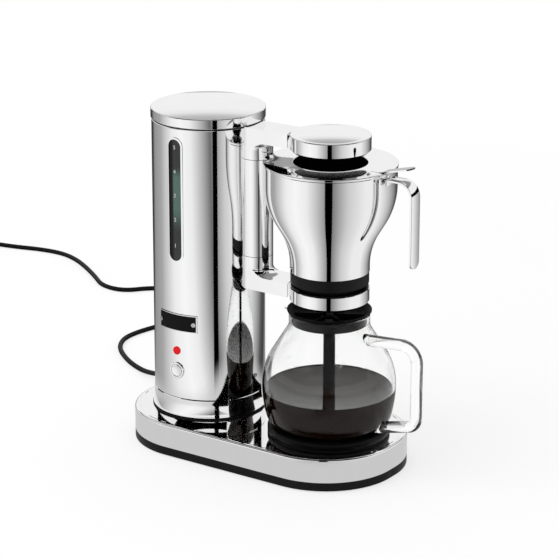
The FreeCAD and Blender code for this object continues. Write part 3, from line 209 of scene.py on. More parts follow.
# The basket's drawn wall, whose shading follows the spinning direction more than the flare
def spunSteel(name, share):
    finish, s, shader = newFinish(name, Metallic=1.0)
    smear = speckle(s, 60, 4, wiped)
    s.link(tinted(s, smear, steelDark, steelLight), shader.inputs["Base Color"])
    s.link(0.035 + smear * 0.035, shader.inputs["Roughness"])
    around = s.vector("NORMALIZE", s.vector("MULTIPLY_ADD", objectPlace(s), (1, 1, 0), (-brewX * mm, 0, 0)))
    true = s.node("ShaderNodeNewGeometry", out="Normal")
    facing = s.vector("DOT_PRODUCT", true, around, out="Value")
    side = s.maths("SIGN", facing)   # the inner wall faces the axis
    around = s.node("ShaderNodeVectorMath", {"operation": "SCALE"}, {0: around, "Scale": side})
    wall = ranged(s, s.maths("ABSOLUTE", facing), 0.45, 0.75) * share
    mixed = s.node("ShaderNodeMix", {"data_type": "VECTOR"}, {"Factor": wall, 4: true, 5: around}, out=1)
    s.link(s.vector("NORMALIZE", mixed), shader.inputs["Normal"])
    return finish


# A flat strap with a slight crown across its width
def crownedSteel(name, width, crown):
    finish, s, shader = newFinish(name, Metallic=1.0)
    smear = speckle(s, 60, 4)
    s.link(tinted(s, smear, steelDark, steelLight), shader.inputs["Base Color"])
    s.link(0.05 + smear * 0.04, shader.inputs["Roughness"])
    y = objectPlace(s).part("Y") / (width / 2 * mm)
    s.link(bumped(s, 1 - y * y, crown), shader.inputs["Normal"])
    return finish


def brushedSteel(name, tint, rough):
    finish, s, shader = newFinish(name, Metallic=1.0)
    lines = speckle(s, 900, 2, (1, 1, 0.02))
    s.link(tinted(s, lines, [t * 0.8 for t in tint], tint), shader.inputs["Base Color"])
    s.link(rough + lines * 0.15, shader.inputs["Roughness"])
    s.link(bumped(s, lines, 0.01, 0.4), shader.inputs["Normal"])
    return finish


def mouldedBlack(name, tone, rough, grain, depth, shine=0.12):
    finish, s, shader = newFinish(name, Specular_IOR_Level=shine)
    spots = speckle(s, grain, 2)
    s.link(tinted(s, speckle(s, 35, 3), [tone * 0.75] * 3, [tone * 1.25] * 3), shader.inputs["Base Color"])
    s.link(rough + spots * 0.12, shader.inputs["Roughness"])
    s.link(bumped(s, spots, depth, 0.5), shader.inputs["Normal"])
    return finish


# Clear glass, with a few drops of condensation that set in between two heights
def clearGlass(name, bend, dropsFrom, dropsTo):
    finish, s, shader = newFinish(name, Transmission_Weight=1.0, IOR=bend)
    shader.inputs["Base Color"].default_value = (0.985, 0.99, 0.985, 1)
    s.link(speckle(s, 30, 2) * 0.012, shader.inputs["Roughness"])
    band = ranged(s, objectPlace(s).part("Z"), dropsFrom * mm, dropsTo * mm)
    patches = ranged(s, speckle(s, 35, 2), 0.5, 0.62)
    cells = s.node("ShaderNodeTexVoronoi", None,
                   {"Vector": objectPlace(s), "Scale": 620.0, "Randomness": 1.0})
    drops = ranged(s, cells, 0.36, 0.12) * patches * band
    s.link(bumped(s, drops + speckle(s, 10, 1) * 0.02, 0.24, 0.7), shader.inputs["Normal"])
    return finish


def brewedCoffee(name):
    finish, s, shader = newFinish(name, IOR=1.34, Specular_IOR_Level=0.25)
    s.link(tinted(s, speckle(s, 45, 3), (0.0040, 0.0012, 0.0004), (0.0130, 0.0042, 0.0015)),
           shader.inputs["Base Color"])
    s.link(0.02 + speckle(s, 90, 2) * 0.03, shader.inputs["Roughness"])
    return finish


# The gauge's smoked pane, with the water's green showing between two heights, and a painted shadow of the
# window frame that darkens it to near black at its left
gaugeLook = {"low": (0.232, 0.262), "high": (0.302, 0.288), "left": (-3.9, -1.2),
             "shade": (0.030, 0.030, 0.029), "water": (0.085, 0.150, 0.125), "edge": (0.002, 0.002, 0.002, 1)}


def gaugePane(name, c):
    finish, s, shader = newFinish(name, Specular_IOR_Level=0.2)
    z = objectPlace(s).part("Z")
    water = ranged(s, z, *c["low"]) * ranged(s, z, *c["high"])
    depth = tinted(s, water + speckle(s, 60, 2) * 0.12, c["shade"], c["water"])
    # painted shadow: towards its left the pane fades to the near-black edge colour, where the window frame
    # would shade it
    unshadowed = ranged(s, objectPlace(s).part("X"), *[(towerX + x) * mm for x in c["left"]])
    s.link(blend(s, unshadowed, c["edge"], depth), shader.inputs["Base Color"])
    s.link(0.08 + speckle(s, 200, 2) * 0.06, shader.inputs["Roughness"])
    return finish


def redLens(name):
    finish, s, shader = newFinish(name, Specular_IOR_Level=0.2, Emission_Strength=0.1)
    s.link(tinted(s, speckle(s, 300, 2), (0.58, 0.002, 0.004), (0.78, 0.006, 0.010)),
           shader.inputs["Base Color"])
    s.link(0.16 + speckle(s, 500, 2) * 0.08, shader.inputs["Roughness"])
    shader.inputs["Emission Color"].default_value = (0.8, 0.01, 0.01, 1)
    return finish


def softColour(name, dark, light, rough, grain):
    finish, s, shader = newFinish(name)
    spots = speckle(s, grain, 3)
    s.link(tinted(s, spots, dark, light), shader.inputs["Base Color"])
    s.link(rough + spots * 0.1, shader.inputs["Roughness"])
    s.link(bumped(s, spots, 0.03, 0.4), shader.inputs["Normal"])
    return finish


finishes = {
    "polished_steel": mirrorSteel("polishedSteel", (0.95, 0.95, 0.955), 0.035),
    "badge_rim": mirrorSteel("brightRim", (0.82, 0.82, 0.83), 0.12),
    "screw_steel": brushedSteel("screwSteel", (0.62, 0.62, 0.63), 0.22),
    "heater_metal": brushedSteel("heaterAluminium", (0.70, 0.70, 0.70), 0.32),
    "pin_brass": brushedSteel("pinBrass", (0.78, 0.60, 0.30), 0.20),
    "black_plastic": mouldedBlack("mouldedBlack", 0.0075, 0.32, 1800, 0.012),
    "plate_black": mouldedBlack("coatedPlate", 0.004, 0.30, 2600, 0.015),
    "badge_black": mouldedBlack("bareBadge", 0.004, 0.12, 900, 0.002, 0.08),
    "rubber": mouldedBlack("softRubber", 0.009, 0.55, 1400, 0.02),
    "cord_black": mouldedBlack("cordJacket", 0.008, 0.38, 2200, 0.01),
    "tank_plastic": mouldedBlack("smokedTank", 0.020, 0.12, 300, 0.004, 0.4),
    "gauge_glass": gaugePane("gaugePane", gaugeLook),
    "carafe_glass": clearGlass("clearGlass", 1.47, 160, 170),
    "red_lens": redLens("redLens"),
    "hose": softColour("siliconeHose", (0.62, 0.60, 0.55), (0.78, 0.76, 0.70), 0.35, 220),
    "board_green": softColour("circuitBoard", (0.02, 0.10, 0.035), (0.05, 0.20, 0.08), 0.4, 160),
}
coffeeFinish = brewedCoffee("brewedCoffee")
# painted shade: a darker, less shiny copy of the moulded black, for the carafe lid, its seal and the stir
# tube, which sit in the brew ring's shade
shadedStopperFinish = mouldedBlack("stopperBlackShaded", 0.003, 0.42, 1800, 0.012, 0.05)
blownFinish = clearGlass("blownGlass", 1.24, 112, 128)
basketFinish = spunSteel("spunSteel", 0.85)
strapFinish = crownedSteel("crownedSteel", 15.6, 0.9)
printFinish = softColour("gaugePrint", (0.60, 0.62, 0.56), (0.76, 0.78, 0.71), 0.45, 400)
print("finishes made")


# Mesh helpers
def meshFrom(bm, name):
    mesh = bpy.data.meshes.new(name)
    bm.to_mesh(mesh)
    bm.free()
    return mesh


def evaluatedMesh(thing):
    bpy.context.view_layer.update()
    return bpy.data.meshes.new_from_object(thing.evaluated_get(bpy.context.evaluated_depsgraph_get()))


def onlyVerts(geom):
    return [g for g in geom if isinstance(g, bmesh.types.BMVert)]


def moveAll(bm, x, y=0, z=0):
    bmesh.ops.translate(bm, verts=bm.verts, vec=(x * mm, y * mm, z * mm))


def addPiece(bm, name, body, slot, replaced=(), finish=None, sharp=32, weighted=False):
    bmesh.ops.remove_doubles(bm, verts=bm.verts, dist=1e-6)
    bmesh.ops.recalc_face_normals(bm, faces=bm.faces)
    return addMesh(meshFrom(bm, name), name, body, slot, replaced, finish, sharp, weighted)


def addMesh(mesh, name, body, slot, replaced=(), finish=None, sharp=32, weighted=False):
    mesh.shade_smooth()
    mesh.set_sharp_from_angle(angle=math.radians(sharp))
    mesh.materials.clear()
    mesh.materials.append(finish or finishes[slot])
    piece = addThing(name, mesh)
    if weighted:
        piece.modifiers.new("evenShading", "WEIGHTED_NORMAL").keep_sharp = True
    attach(piece, body)
    if replaced:
        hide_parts(*replaced)
    return piece


# A side outline drawn with points (r, z) and arcs (centre r, centre z, radius, from, to)
def drawOutline(steps, parts=12):
    bm = bmesh.new()
    last = None
    for step in steps:
        arc = len(step) == 5
        if arc:
            cr, cz, radius, start, end = step
            a = math.radians(start)
            place = Vector((cr + radius * math.cos(a), 0, cz + radius * math.sin(a))) * mm
        else:
            place = Vector((step[0], 0, step[1])) * mm
        if last is None:
            last = bm.verts.new(place)
        elif (last.co - place).length > 1e-6:
            last = bmesh.ops.extrude_vert_indiv(bm, verts=[last])["verts"][0]
            last.co = place
        if arc:
            made = bmesh.ops.spin(bm, geom=[last], cent=Vector((cr, 0, cz)) * mm, axis=(0, 1, 0),
                                  angle=-math.radians(end - start), steps=parts)
            last = onlyVerts(made["geom_last"])[0]
    return bm


def turn(steps, x, segments=144, parts=12):
    bm = drawOutline(steps, parts)
    bmesh.ops.spin(bm, geom=bm.verts[:] + bm.edges[:], cent=(0, 0, 0), axis=(0, 0, 1),
                   angle=math.tau, steps=segments, use_merge=True)
    moveAll(bm, x)
    return bm


# Turns an upright shape to stand out of the tower's front, at height z
def faceFront(bm, z):
    moveAll(bm, -towerX)
    bmesh.ops.rotate(bm, verts=bm.verts, cent=(0, 0, 0), matrix=Matrix.Rotation(math.pi / 2, 3, "X"))
    moveAll(bm, towerX, 0, z)
    return bm


# The arc of a shallow dome, from its edge up to the axis
def crownArc(radius, z, rise):
    big = (radius * radius + rise * rise) / (2 * rise)
    half = math.degrees(math.asin(radius / big))
    return (0, z + rise - big, big, 90 - half, 90)


# Mains cord: the route's corner points from the base's centre, in mm, then a tied coil and a plug
cordPlan = {
    "diameter": 5.5, "length": 1.2335, "exitAngle": 150, "exitZ": 17.0, "glandLength": 32,
    "corner": (72.5, 6.0, 77.0), "floor": 2.8, "firstRun": 22,
    "points": [(-213, 86, 8.0), (-241, 98), (-276, 116), (-312, 147), (-326, 187), (-303, 264), (-304, 305),
               (-331, 340), (-370, 352), (-406, 335), (-427, 306), (-461, 307.5), (-489, 330), (-521, 352.5),
               (-552, 371), (-582, 381), (-616, 378), (-650, 367.5)],
    "coilCentre": (-700, 314, 3.85), "coilHeading": 203, "coilLead": 30, "coilRadius": 36,
    "coilPitch": 6.3, "halfTurns": 4, "stepsPerHalf": 10, "tailRun": 22}


def cordPoints(c):
    a = math.radians(c["exitAngle"])
    outward = Vector((math.cos(a), math.sin(a), 0))
    cx, cy, r = c["corner"]
    start = Vector((-cx, cy, c["exitZ"])) + outward * (r + c["glandLength"])
    route = [start, start + outward * c["firstRun"]]
    route += [Vector(p) if len(p) == 3 else Vector((*p, c["floor"])) for p in c["points"]]
    h = math.radians(c["coilHeading"])
    run = Vector((math.cos(h), math.sin(h), 0))
    across = Vector((run.y, -run.x, 0))
    place = Vector(c["coilCentre"]) + across * c["coilRadius"]
    route += [place - run * c["coilLead"], place]
    radius = c["coilRadius"]
    climb = c["halfTurns"] // 2
    for k in range(c["halfTurns"]):   # spirals in on the floor, climbs once, spirals out on top
        side = 1 if k % 2 == 0 else -1
        centre = place - across * (side * radius)
        rise = c["coilPitch"] if k == climb else 0
        for j in range(1, c["stepsPerHalf"] + 1):
            t = math.pi * j / c["stepsPerHalf"]
            lift = Vector((0, 0, rise * j / c["stepsPerHalf"]))
            route.append(centre + (across * math.cos(t) + run * math.sin(t)) * (side * radius) + lift)
        place = route[-1]
        radius += -c["coilPitch"] / 2 if k < climb else c["coilPitch"] / 2
    route.append(place + run * c["tailRun"])
    return [(p + Vector((baseX, 0, 0))) * mm for p in route]


def layCord(c):
    points = cordPoints(c)
    data = bpy.data.curves.new("mainsCord", "CURVE")
    data.dimensions = "3D"
    data.bevel_depth = c["diameter"] / 2 * mm
    data.bevel_resolution = 5
    data.resolution_u = 8
    data.use_fill_caps = True
    spline = data.splines.new("NURBS")
    spline.points.add(len(points) - 1)
    for point, place in zip(spline.points, points):
        point.co = (*place, 1)
    spline.order_u = 3
    spline.use_endpoint_u = True
    data.materials.append(finishes["cord_black"])
    cord = addThing("mainsCord", data)
    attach(cord, "machine")
    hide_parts("power_cord", "cord_coil")
    return cord, points[0]


mainsCord, cordExit = layCord(cordPlan)
print("cord laid")


# Copies of CAD nodes with even shading, for pieces whose CAD shape is already right
def mergedCopy(node):
    bm = bmesh.new()
    bm.from_mesh(frame["nodes"][node].data)
    bmesh.ops.remove_doubles(bm, verts=bm.verts, dist=2e-6)
    return bm


def smoothCopy(node, name, finish=None):
    mesh = meshFrom(mergedCopy(node), name)
    return addMesh(mesh, name, bodyOf[node], slotOf[node], (node,), finish, 30, True)


copied = {"base_pan": "basePan", "hotplate": "hotplateDisc", "column_tube": "columnTube",
          "lower_arm": "lowerArm", "upper_arm": "upperArm", "window_frame": "gaugeFrame",
          "gauge_window": "gaugePaneStrip",
          "badge_plate": "badgeRim", "badge_inlay": "badgeFace", "badge_screws": "badgeScrews",
          "ring_liner": "ringLiner", "basket_foot": "basketFoot", "spray_plate": "sprayPlate",
          "carafe_handle": "glassHandle", "carafe_lid": "carafeLid", "carafe_lid_seal": "carafeLidSeal",
          "stir_tube": "stirTube", "tower_gasket": "towerGasket", "hotplate_gasket": "hotplateGasket",
          "carafe_sensor": "carafeSensor", "handle_rivets": "handleRivets", "cord_gland": "cordGland",
          "cord_tie": "cordTie", "plug_body": "mainsPlug", "plug_pins": "plugPins",
          "filter_holder": "filterHolder"}
# the carafe lid, seal and stir tube take the darker copy of the moulded black, which carries painted shade
ownFinish = {"carafe_lid": shadedStopperFinish, "carafe_lid_seal": shadedStopperFinish, "stir_tube": shadedStopperFinish}
copies = {node: smoothCopy(node, name, ownFinish.get(node)) for node, name in copied.items()}
print("smooth copies:", len(copies))

# Fine dark joints where the arms' stubs meet the column
jointShape = {"height": 0.45, "proud": 0.06}


def makeJoints(c):
    low, high = heights("column_tube")
    x = boxMid("column_tube", 0)
    wide = 1 + c["proud"] / roundRadius("column_tube")
    for name, z, inside in (("lowerJoint", low, 1), ("upperJoint", high, -1)):
        bm = mergedCopy("column_tube")
        bmesh.ops.bisect_plane(bm, geom=bm.verts[:] + bm.edges[:] + bm.faces[:], clear_outer=True,
                               plane_co=(0, 0, (z + inside * c["height"]) * mm), plane_no=(0, 0, inside))
        moveAll(bm, -x)
        bmesh.ops.scale(bm, verts=bm.verts, vec=(wide, wide, 1))
        moveAll(bm, x)
        addMesh(meshFrom(bm, name), name, "machine", "black_plastic")


makeJoints(jointShape)

# Base cover: a rounded steel pan with a soft upper edge and a fine groove round the deck
coverShape = {"bandTop": 10.0, "length": 299.0, "width": 166.0, "corner": 77.0, "cornerParts": 28,
              "edge": 2.4, "edgeParts": 5, "grooveInset": 4.6, "grooveWidth": 0.9, "grooveDepth": 0.5}


def makeCover(c):
    low, high = c["bandTop"], heights("base_cover")[1]
    bm = bmesh.new()
    bmesh.ops.create_cube(bm, size=1.0)
    bmesh.ops.scale(bm, verts=bm.verts, vec=(c["length"] * mm, c["width"] * mm, (high - low) * mm))
    moveAll(bm, baseX, 0, (low + high) / 2)
    upright = [e for e in bm.edges if abs((e.verts[0].co - e.verts[1].co).normalized().z) > 0.9]
    bmesh.ops.bevel(bm, geom=upright, offset=c["corner"] * mm, offset_type="OFFSET", affect="EDGES",
                    segments=c["cornerParts"], profile=0.5, material=-1)
    deck = [f for f in bm.faces if f.normal.z > 0.9]
    bmesh.ops.bevel(bm, geom=[e for f in deck for e in f.edges], offset=c["edge"] * mm, offset_type="OFFSET",
                    affect="EDGES", segments=c["edgeParts"], profile=0.5, material=-1)
    deck = [max((f for f in bm.faces if f.normal.z > 0.99), key=lambda f: f.calc_area())]
    for inset, depth in ((c["grooveInset"] - c["edge"], 0), (c["grooveWidth"] * 0.4, -c["grooveDepth"]),
                         (c["grooveWidth"] * 0.2, 0), (c["grooveWidth"] * 0.4, c["grooveDepth"])):
        bmesh.ops.inset_region(bm, faces=deck, thickness=inset * mm, depth=depth * mm, use_even_offset=True)
    addPiece(bm, "baseCover", "machine", "polished_steel", ("base_cover",), sharp=28, weighted=True)


makeCover(coverShape)
print("base made")

# Water tower: foot, shell with the gauge slot, and a domed lid
towerShape = {"wall": 1.2, "edge": 0.35, "flareTop": 15.2, "flareRun": 14.0, "footBore": 50, "footFloor": 4,
              "footWall": 1.3, "footProud": 0.2, "footSeam": 0.4, "slotWidth": 16.8, "slotHeight": 128.6,
              "slotFrom": 40, "slotReach": 30, "lidEdge": 1.2, "lidDome": 3.0, "lidSkin": 1.2, "seam": 0.6}


def makeFoot(c):
    low = heights("tower_foot")[0]
    flare = roundRadius("tower_foot")
    skin = roundRadius("tower_shell")
    seam = heights("tower_shell")[0] - c["footSeam"]
    neck = skin + c["footProud"]
    inner = skin - c["footWall"]
    bore, floor = c["footBore"], low + c["footFloor"]
    lean = 2 * math.degrees(math.atan((flare - neck) / c["flareRun"]))
    bend = c["flareRun"] / math.sin(math.radians(lean))
    steps = [(bore, low), (flare - crisp, low), (flare, low + crisp),
             (neck + bend, low + c["flareTop"], bend, 180 + lean, 180), (neck, seam - 0.5),
             (skin - crisp, seam), (inner, seam), (inner, floor), (bore, floor), (bore, low)]
    addPiece(turn(steps, towerX), "towerFoot", "machine", "polished_steel", ("tower_foot",), sharp=25)


def makeShell(c):
    low, high = heights("tower_shell")
    high -= c["seam"]
    r = roundRadius("tower_shell")
    e = c["edge"]
    inner = r - c["wall"]
    steps = [(inner, low), (r - e, low), (r, low + e), (r, high - e), (r - e, high), (inner, high),
             (inner, low)]
    shell = addPiece(turn(steps, towerX, 192), "towerShell", "machine", "polished_steel", ("tower_shell",))
    half = c["slotWidth"] / 2
    straight = c["slotHeight"] / 2 - half
    slot = drawOutline([(0, straight, half, 0, 180), (0, -straight, half, 180, 360), (half, straight)], 16)
    bmesh.ops.remove_doubles(slot, verts=slot.verts, dist=1e-6)
    bmesh.ops.contextual_create(slot, geom=slot.edges[:])
    moved = bmesh.ops.extrude_face_region(slot, geom=slot.faces[:])["geom"]
    bmesh.ops.translate(slot, verts=onlyVerts(moved), vec=(0, -c["slotReach"] * mm, 0))
    moveAll(slot, towerX, -c["slotFrom"], boxMid("window_frame", 2))
    bmesh.ops.recalc_face_normals(slot, faces=slot.faces)
    cutter = addThing("slotCutter", meshFrom(slot, "slotCutter"))
    cut = shell.modifiers.new("gaugeSlot", "BOOLEAN")
    cut.object = cutter
    cut.solver = "EXACT"
    opened = evaluatedMesh(shell)
    shell.modifiers.clear()
    shell.data = opened
    opened.shade_smooth()
    opened.set_sharp_from_angle(angle=math.radians(32))
    bpy.data.objects.remove(cutter)


def makeTowerLid(c):
    low, high = heights("tower_lid")
    r = roundRadius("tower_lid")
    e = c["lidEdge"]
    rim = high - c["lidDome"]
    inner = r - c["lidSkin"]
    steps = [(0, rim - c["lidSkin"]), (inner, rim - c["lidSkin"]), (inner, low), (r - crisp, low),
             (r, low + crisp), (r - e, rim - e, e, 0, 62),
             crownArc(r - e * 0.55, rim - 0.05, c["lidDome"] + 0.05)]
    addPiece(turn(steps, towerX, 192, 16), "towerLid", "tank_lid", "polished_steel", ("tower_lid",),
             sharp=25)


makeFoot(towerShape)
makeShell(towerShape)
makeTowerLid(towerShape)
print("tower made")

# Tower front: push button in its bezel, red lamp and the gauge's numbers
frontShape = {"bezelRadius": 8.7, "bezelBore": 6.5, "bezelProud": 1.3, "bezelRound": 0.6, "bezelDepth": 1.6,
              "capRadius": 6.2, "capProud": 1.6, "capDish": 0.55, "capRound": 0.7, "capDepth": 5.6,
              "lampRadius": 4.35, "lampProud": 1.4, "lampEdge": 0.45, "lampDepth": 1, "digitSize": 5.6,
              "digitShift": -0.4, "digitSunk": 0.12, "digitThick": 0.06,
              "digits": {"5": 321, "4": 296, "3": 271, "2": 246, "1": 218.6}}


def makeButton(c):
    skin = roundRadius("tower_shell")
    z = boxMid("button_bezel", 2)
    face = skin + c["bezelProud"]
    back = skin - c["bezelDepth"]
    bore, r, e = c["bezelBore"], c["bezelRadius"], c["bezelRound"]
    bezel = [(bore, back), (r, back), (r - e, face - e, e, 0, 90), (bore + e, face - e, e, 90, 180),
             (bore, back)]
    addPiece(faceFront(turn(bezel, towerX, 72, 6), z), "buttonBezel", "machine", "polished_steel",
             ("button_bezel",))
    front = skin + c["capProud"]
    back = skin - c["capDepth"]
    e = c["capRound"]
    flat = c["capRadius"] - e
    big = (flat * flat + c["capDish"] ** 2) / (2 * c["capDish"])
    lean = math.degrees(math.asin(flat / big))
    cap = [(0, back), (c["capRadius"], back), (flat, front - e, e, 0, 90),
           (0, front - c["capDish"] + big, big, 270 + lean, 270)]
    addPiece(faceFront(turn(cap, towerX, 72, 8), z), "buttonCap", "button", "polished_steel", ("button_cap",))


def makeLamp(c):
    skin = roundRadius("tower_shell")
    r = c["lampRadius"]
    back = skin - c["lampDepth"]
    edge = skin + c["lampProud"] * c["lampEdge"]
    steps = [(0, back), (r, back), (r, edge), crownArc(r, edge, c["lampProud"] * (1 - c["lampEdge"]))]
    addPiece(faceFront(turn(steps, towerX, 64, 8), boxMid("indicator_lens", 2)), "lampLens", "machine",
             "red_lens", ("indicator_lens",))


def makeDigits(c):
    skin = roundRadius("tower_shell")
    for digit, z in c["digits"].items():
        text = bpy.data.curves.new("digit" + digit, "FONT")
        text.body = digit
        text.size = c["digitSize"] * mm
        text.align_x = "CENTER"
        text.align_y = "CENTER"
        text.extrude = c["digitThick"] * mm
        holder = addThing("digitHolder", text)
        mesh = evaluatedMesh(holder)
        bpy.data.objects.remove(holder)
        place = Vector((towerX + c["digitShift"], c["digitSunk"] - skin, z)) * mm
        mesh.transform(Matrix.Translation(place) @ Matrix.Rotation(math.pi / 2, 4, "X"))
        addMesh(mesh, "gaugeDigit" + digit, "machine", None, (), printFinish, 30)


makeButton(frontShape)
makeLamp(frontShape)
makeDigits(frontShape)
print("tower front made")

# Shower head and ring on the bracket's arms
headShape = {"chamfer": 3.0, "edge": 1.0, "dome": 2.1, "wall": 1.5, "ringBore": 33.5, "ringChamfer": 2.6}


def makeHeadAndRing(c):
    low, high = heights("shower_head")
    r = roundRadius("shower_head")
    top = high - c["dome"]
    inner = r - c["wall"]
    lip = r - c["chamfer"]
    e = c["edge"]
    steps = [(lip - c["wall"], low), (lip, low), (r, low + c["chamfer"]), (r - e, top - e, e, 0, 90),
             (inner - 1, top), crownArc(inner - 1, top, c["dome"]), (0, top - c["wall"]),
             (inner, top - c["wall"]), (inner, low + c["chamfer"] + 1), (lip - c["wall"], low)]
    addPiece(turn(steps, brewX), "showerHead", "machine", "polished_steel", ("shower_head",), sharp=25)
    low, high = heights("brew_ring")
    r = roundRadius("brew_ring")
    bore, cut = c["ringBore"], c["ringChamfer"]
    steps = [(bore, low), (r - cut, low), (r, low + cut), (r, high - crisp), (r - crisp, high), (bore, high),
             (bore, low)]
    addPiece(turn(steps, brewX), "brewRing", "machine", "polished_steel", ("brew_ring",), sharp=25)


makeHeadAndRing(headShape)
print("shower head and ring made")

# Filter basket: flared shell, lid with a finger tab, strap handle
basketShape = {"lowRadius": 39.8, "highRadius": 66.2, "flare": 31, "lowBend": 66, "highBend": 76, "lowRun": 6,
               "wall": 1.2, "floorBore": 15, "rim": 0.4, "lidHole": 37, "lidEdge": 0.6, "lidGap": 0.3,
               "lidThick": 2.5, "skirtGap": 1.7, "skirt": 3, "skirtWall": 1.2, "tabWidth": 14,
               "tabThick": 1.4, "tabRoot": 16, "tabReach": 95.6, "tabRise": 9.6,
               "tabBends": [(0, 0.1), (9, 0.2), (15, 1.3), (21, 3.1)], "strapWidth": 15.6,
               "strapThick": 2.2, "strapReach": 98.7, "strapBend": 16, "strapBelow": 2.6, "strapDrop": 90,
               "strapGap": 0.4, "strapRoot": 7, "strapStraight": 40, "strapSoft": 0.4}


def makeBasket(c):
    low, high = heights("basket_shell")
    a = math.radians(c["flare"])
    w = c["wall"]
    bends = c["lowBend"] + c["highBend"]
    slope = (c["highRadius"] - c["lowRadius"] - bends * (1 - math.cos(a))) / math.sin(a)
    bendZ = low + c["lowRun"]
    topZ = bendZ + bends * math.sin(a) + slope * math.cos(a)
    lowR = c["lowRadius"] + c["lowBend"]
    highR = c["highRadius"] - c["highBend"]
    rim = c["rim"]
    bore, flare = c["floorBore"], c["flare"]
    steps = [(bore, low), (c["lowRadius"], low), (lowR, bendZ, c["lowBend"], 180, 180 - flare),
             (highR, topZ, c["highBend"], -flare, 0), (c["highRadius"], high - rim),
             (c["highRadius"] - rim, high), (c["highRadius"] - w, high),
             (highR, topZ, c["highBend"] - w, 0, -flare), (lowR, bendZ, c["lowBend"] + w, 180 - flare, 180),
             (c["lowRadius"] - w, low + w), (bore, low + w), (bore, low)]
    addPiece(turn(steps, brewX, 192, 20), "basketShell", "basket", "polished_steel", ("basket_shell",),
             basketFinish, 25)


# A flat strip along an outline in the XZ plane, with a rounded end
def bentStrip(steps, width, thick, roundEnd):
    bm = drawOutline(steps, 10)
    for v in bm.verts:
        v.co.y = -width / 2 * mm
    tip = bm.verts[:][-1]
    made = bmesh.ops.extrude_edge_only(bm, edges=bm.edges[:])["geom"]
    bmesh.ops.translate(bm, verts=onlyVerts(made), vec=(0, width * mm, 0))
    ends = [v for v in bm.verts if math.dist(v.co.xz, tip.co.xz) < 1e-6]
    bmesh.ops.bevel(bm, geom=ends, offset=roundEnd * mm, offset_type="OFFSET", affect="VERTICES", segments=10,
                    profile=0.5, material=-1)
    bmesh.ops.recalc_face_normals(bm, faces=bm.faces)
    bmesh.ops.solidify(bm, geom=bm.faces[:], thickness=thick * mm)
    return bm


def makeStrap(c):
    top = heights("basket_shell")[1]
    z = top - c["strapBelow"]
    x = brewX + c["strapReach"]
    bend = c["strapBend"]
    half = c["strapThick"] / 2
    start = brewX + c["highRadius"] + c["strapGap"] + half
    steps = [(start, z - c["strapRoot"]), (start, z - 1.5), (start + 1.6, z),
             (x - bend, z - bend, bend, 90, 0), (x, z - c["strapStraight"]), (x, top - c["strapDrop"])]
    bm = bentStrip(steps, c["strapWidth"], c["strapThick"], c["strapWidth"] / 2 - 0.5)
    strap = addPiece(bm, "strapHandle", "basket", "polished_steel", ("basket_handle",), strapFinish, 40)
    soft = strap.modifiers.new("softEdge", "BEVEL")
    soft.width = c["strapSoft"] * mm
    soft.segments = 2
    soft.limit_method = "ANGLE"
    soft.angle_limit = math.radians(50)


def makeBasketLid(c):
    discZ = heights("basket_shell")[1] + c["lidGap"]
    topZ = discZ + c["lidThick"]
    lowZ = discZ - c["skirt"]
    r = roundRadius("basket_lid")
    e = c["lidEdge"]
    hole = c["lidHole"]
    skirtR = c["highRadius"] - c["skirtGap"]
    innerR = skirtR - c["skirtWall"]
    steps = [(hole, discZ), (innerR, discZ), (innerR, lowZ), (skirtR, lowZ), (skirtR, discZ), (r - e, discZ),
             (r - e, discZ + e, e, 270, 360), (r - e, topZ - e, e, 0, 90), (hole + e, topZ - e, e, 90, 180),
             (hole, discZ)]
    bm = turn(steps, brewX, 192, 5)
    root = brewX + r - c["tabRoot"]
    tip = (brewX + c["tabReach"], topZ + c["tabRise"] - c["tabThick"] / 2)
    bends = [(root + x, topZ + z) for x, z in c["tabBends"]]
    tab = bentStrip(bends + [tip], c["tabWidth"], c["tabThick"], c["tabWidth"] / 2 - 0.4)
    bmesh.ops.recalc_face_normals(tab, faces=tab.faces)
    tabMesh = meshFrom(tab, "tabStrip")
    bm.from_mesh(tabMesh)
    bpy.data.meshes.remove(tabMesh)
    addPiece(bm, "basketLid", "basket_cover", "polished_steel", ("basket_lid",), sharp=28)


makeBasket(basketShape)
makeStrap(basketShape)
makeBasketLid(basketShape)
print("basket made")

# Carafe: blown glass with a pulled lip, and the coffee in it
carafeShape = {"wall": 2.6, "belly": 67.6, "bellyRise": 42.7, "lowerBend": 130, "corner": 15, "shoulder": 64,
               "slope": 32, "neck": 40.8, "neckBend": 14, "neckRun": 9.2, "lipReach": 13.2, "lipShare": 0.93,
               "lipDrop": 12, "lipDroop": 0.32, "lipHalf": 27, "coffeeTop": 80.2, "meniscus": 1.3,
               "meniscusMid": (0.7, 0.35), "meniscusRun": 2.0, "filmGap": 0.06, "rimLow": 6, "rimHigh": 3,
               "rimRound": 0.4}


def carafeWall(c, inset, glassZ):
    a = math.radians(c["slope"])
    bellyZ = glassZ + c["bellyRise"]
    cornerZ = glassZ + c["corner"]
    lowerX = c["belly"] - c["lowerBend"]
    lean = math.asin((bellyZ - cornerZ) / (c["lowerBend"] - c["corner"]))
    cornerX = lowerX + (c["lowerBend"] - c["corner"]) * math.cos(lean)
    low = math.degrees(lean)
    bends = c["shoulder"] + c["neckBend"]
    run = (c["belly"] - c["neck"] - bends * (1 - math.cos(a))) / math.sin(a)
    neckZ = bellyZ + bends * math.sin(a) + run * math.cos(a)
    return [(cornerX, cornerZ, c["corner"] - inset, -90, -low),
            (lowerX, bellyZ, c["lowerBend"] - inset, -low, 0),
            (c["belly"] - c["shoulder"], bellyZ, c["shoulder"] - inset, 0, c["slope"]),
            (c["neck"] + c["neckBend"], neckZ, c["neckBend"] + inset, 180 + c["slope"], 180),
            (c["neck"] - inset, neckZ + c["neckRun"])]


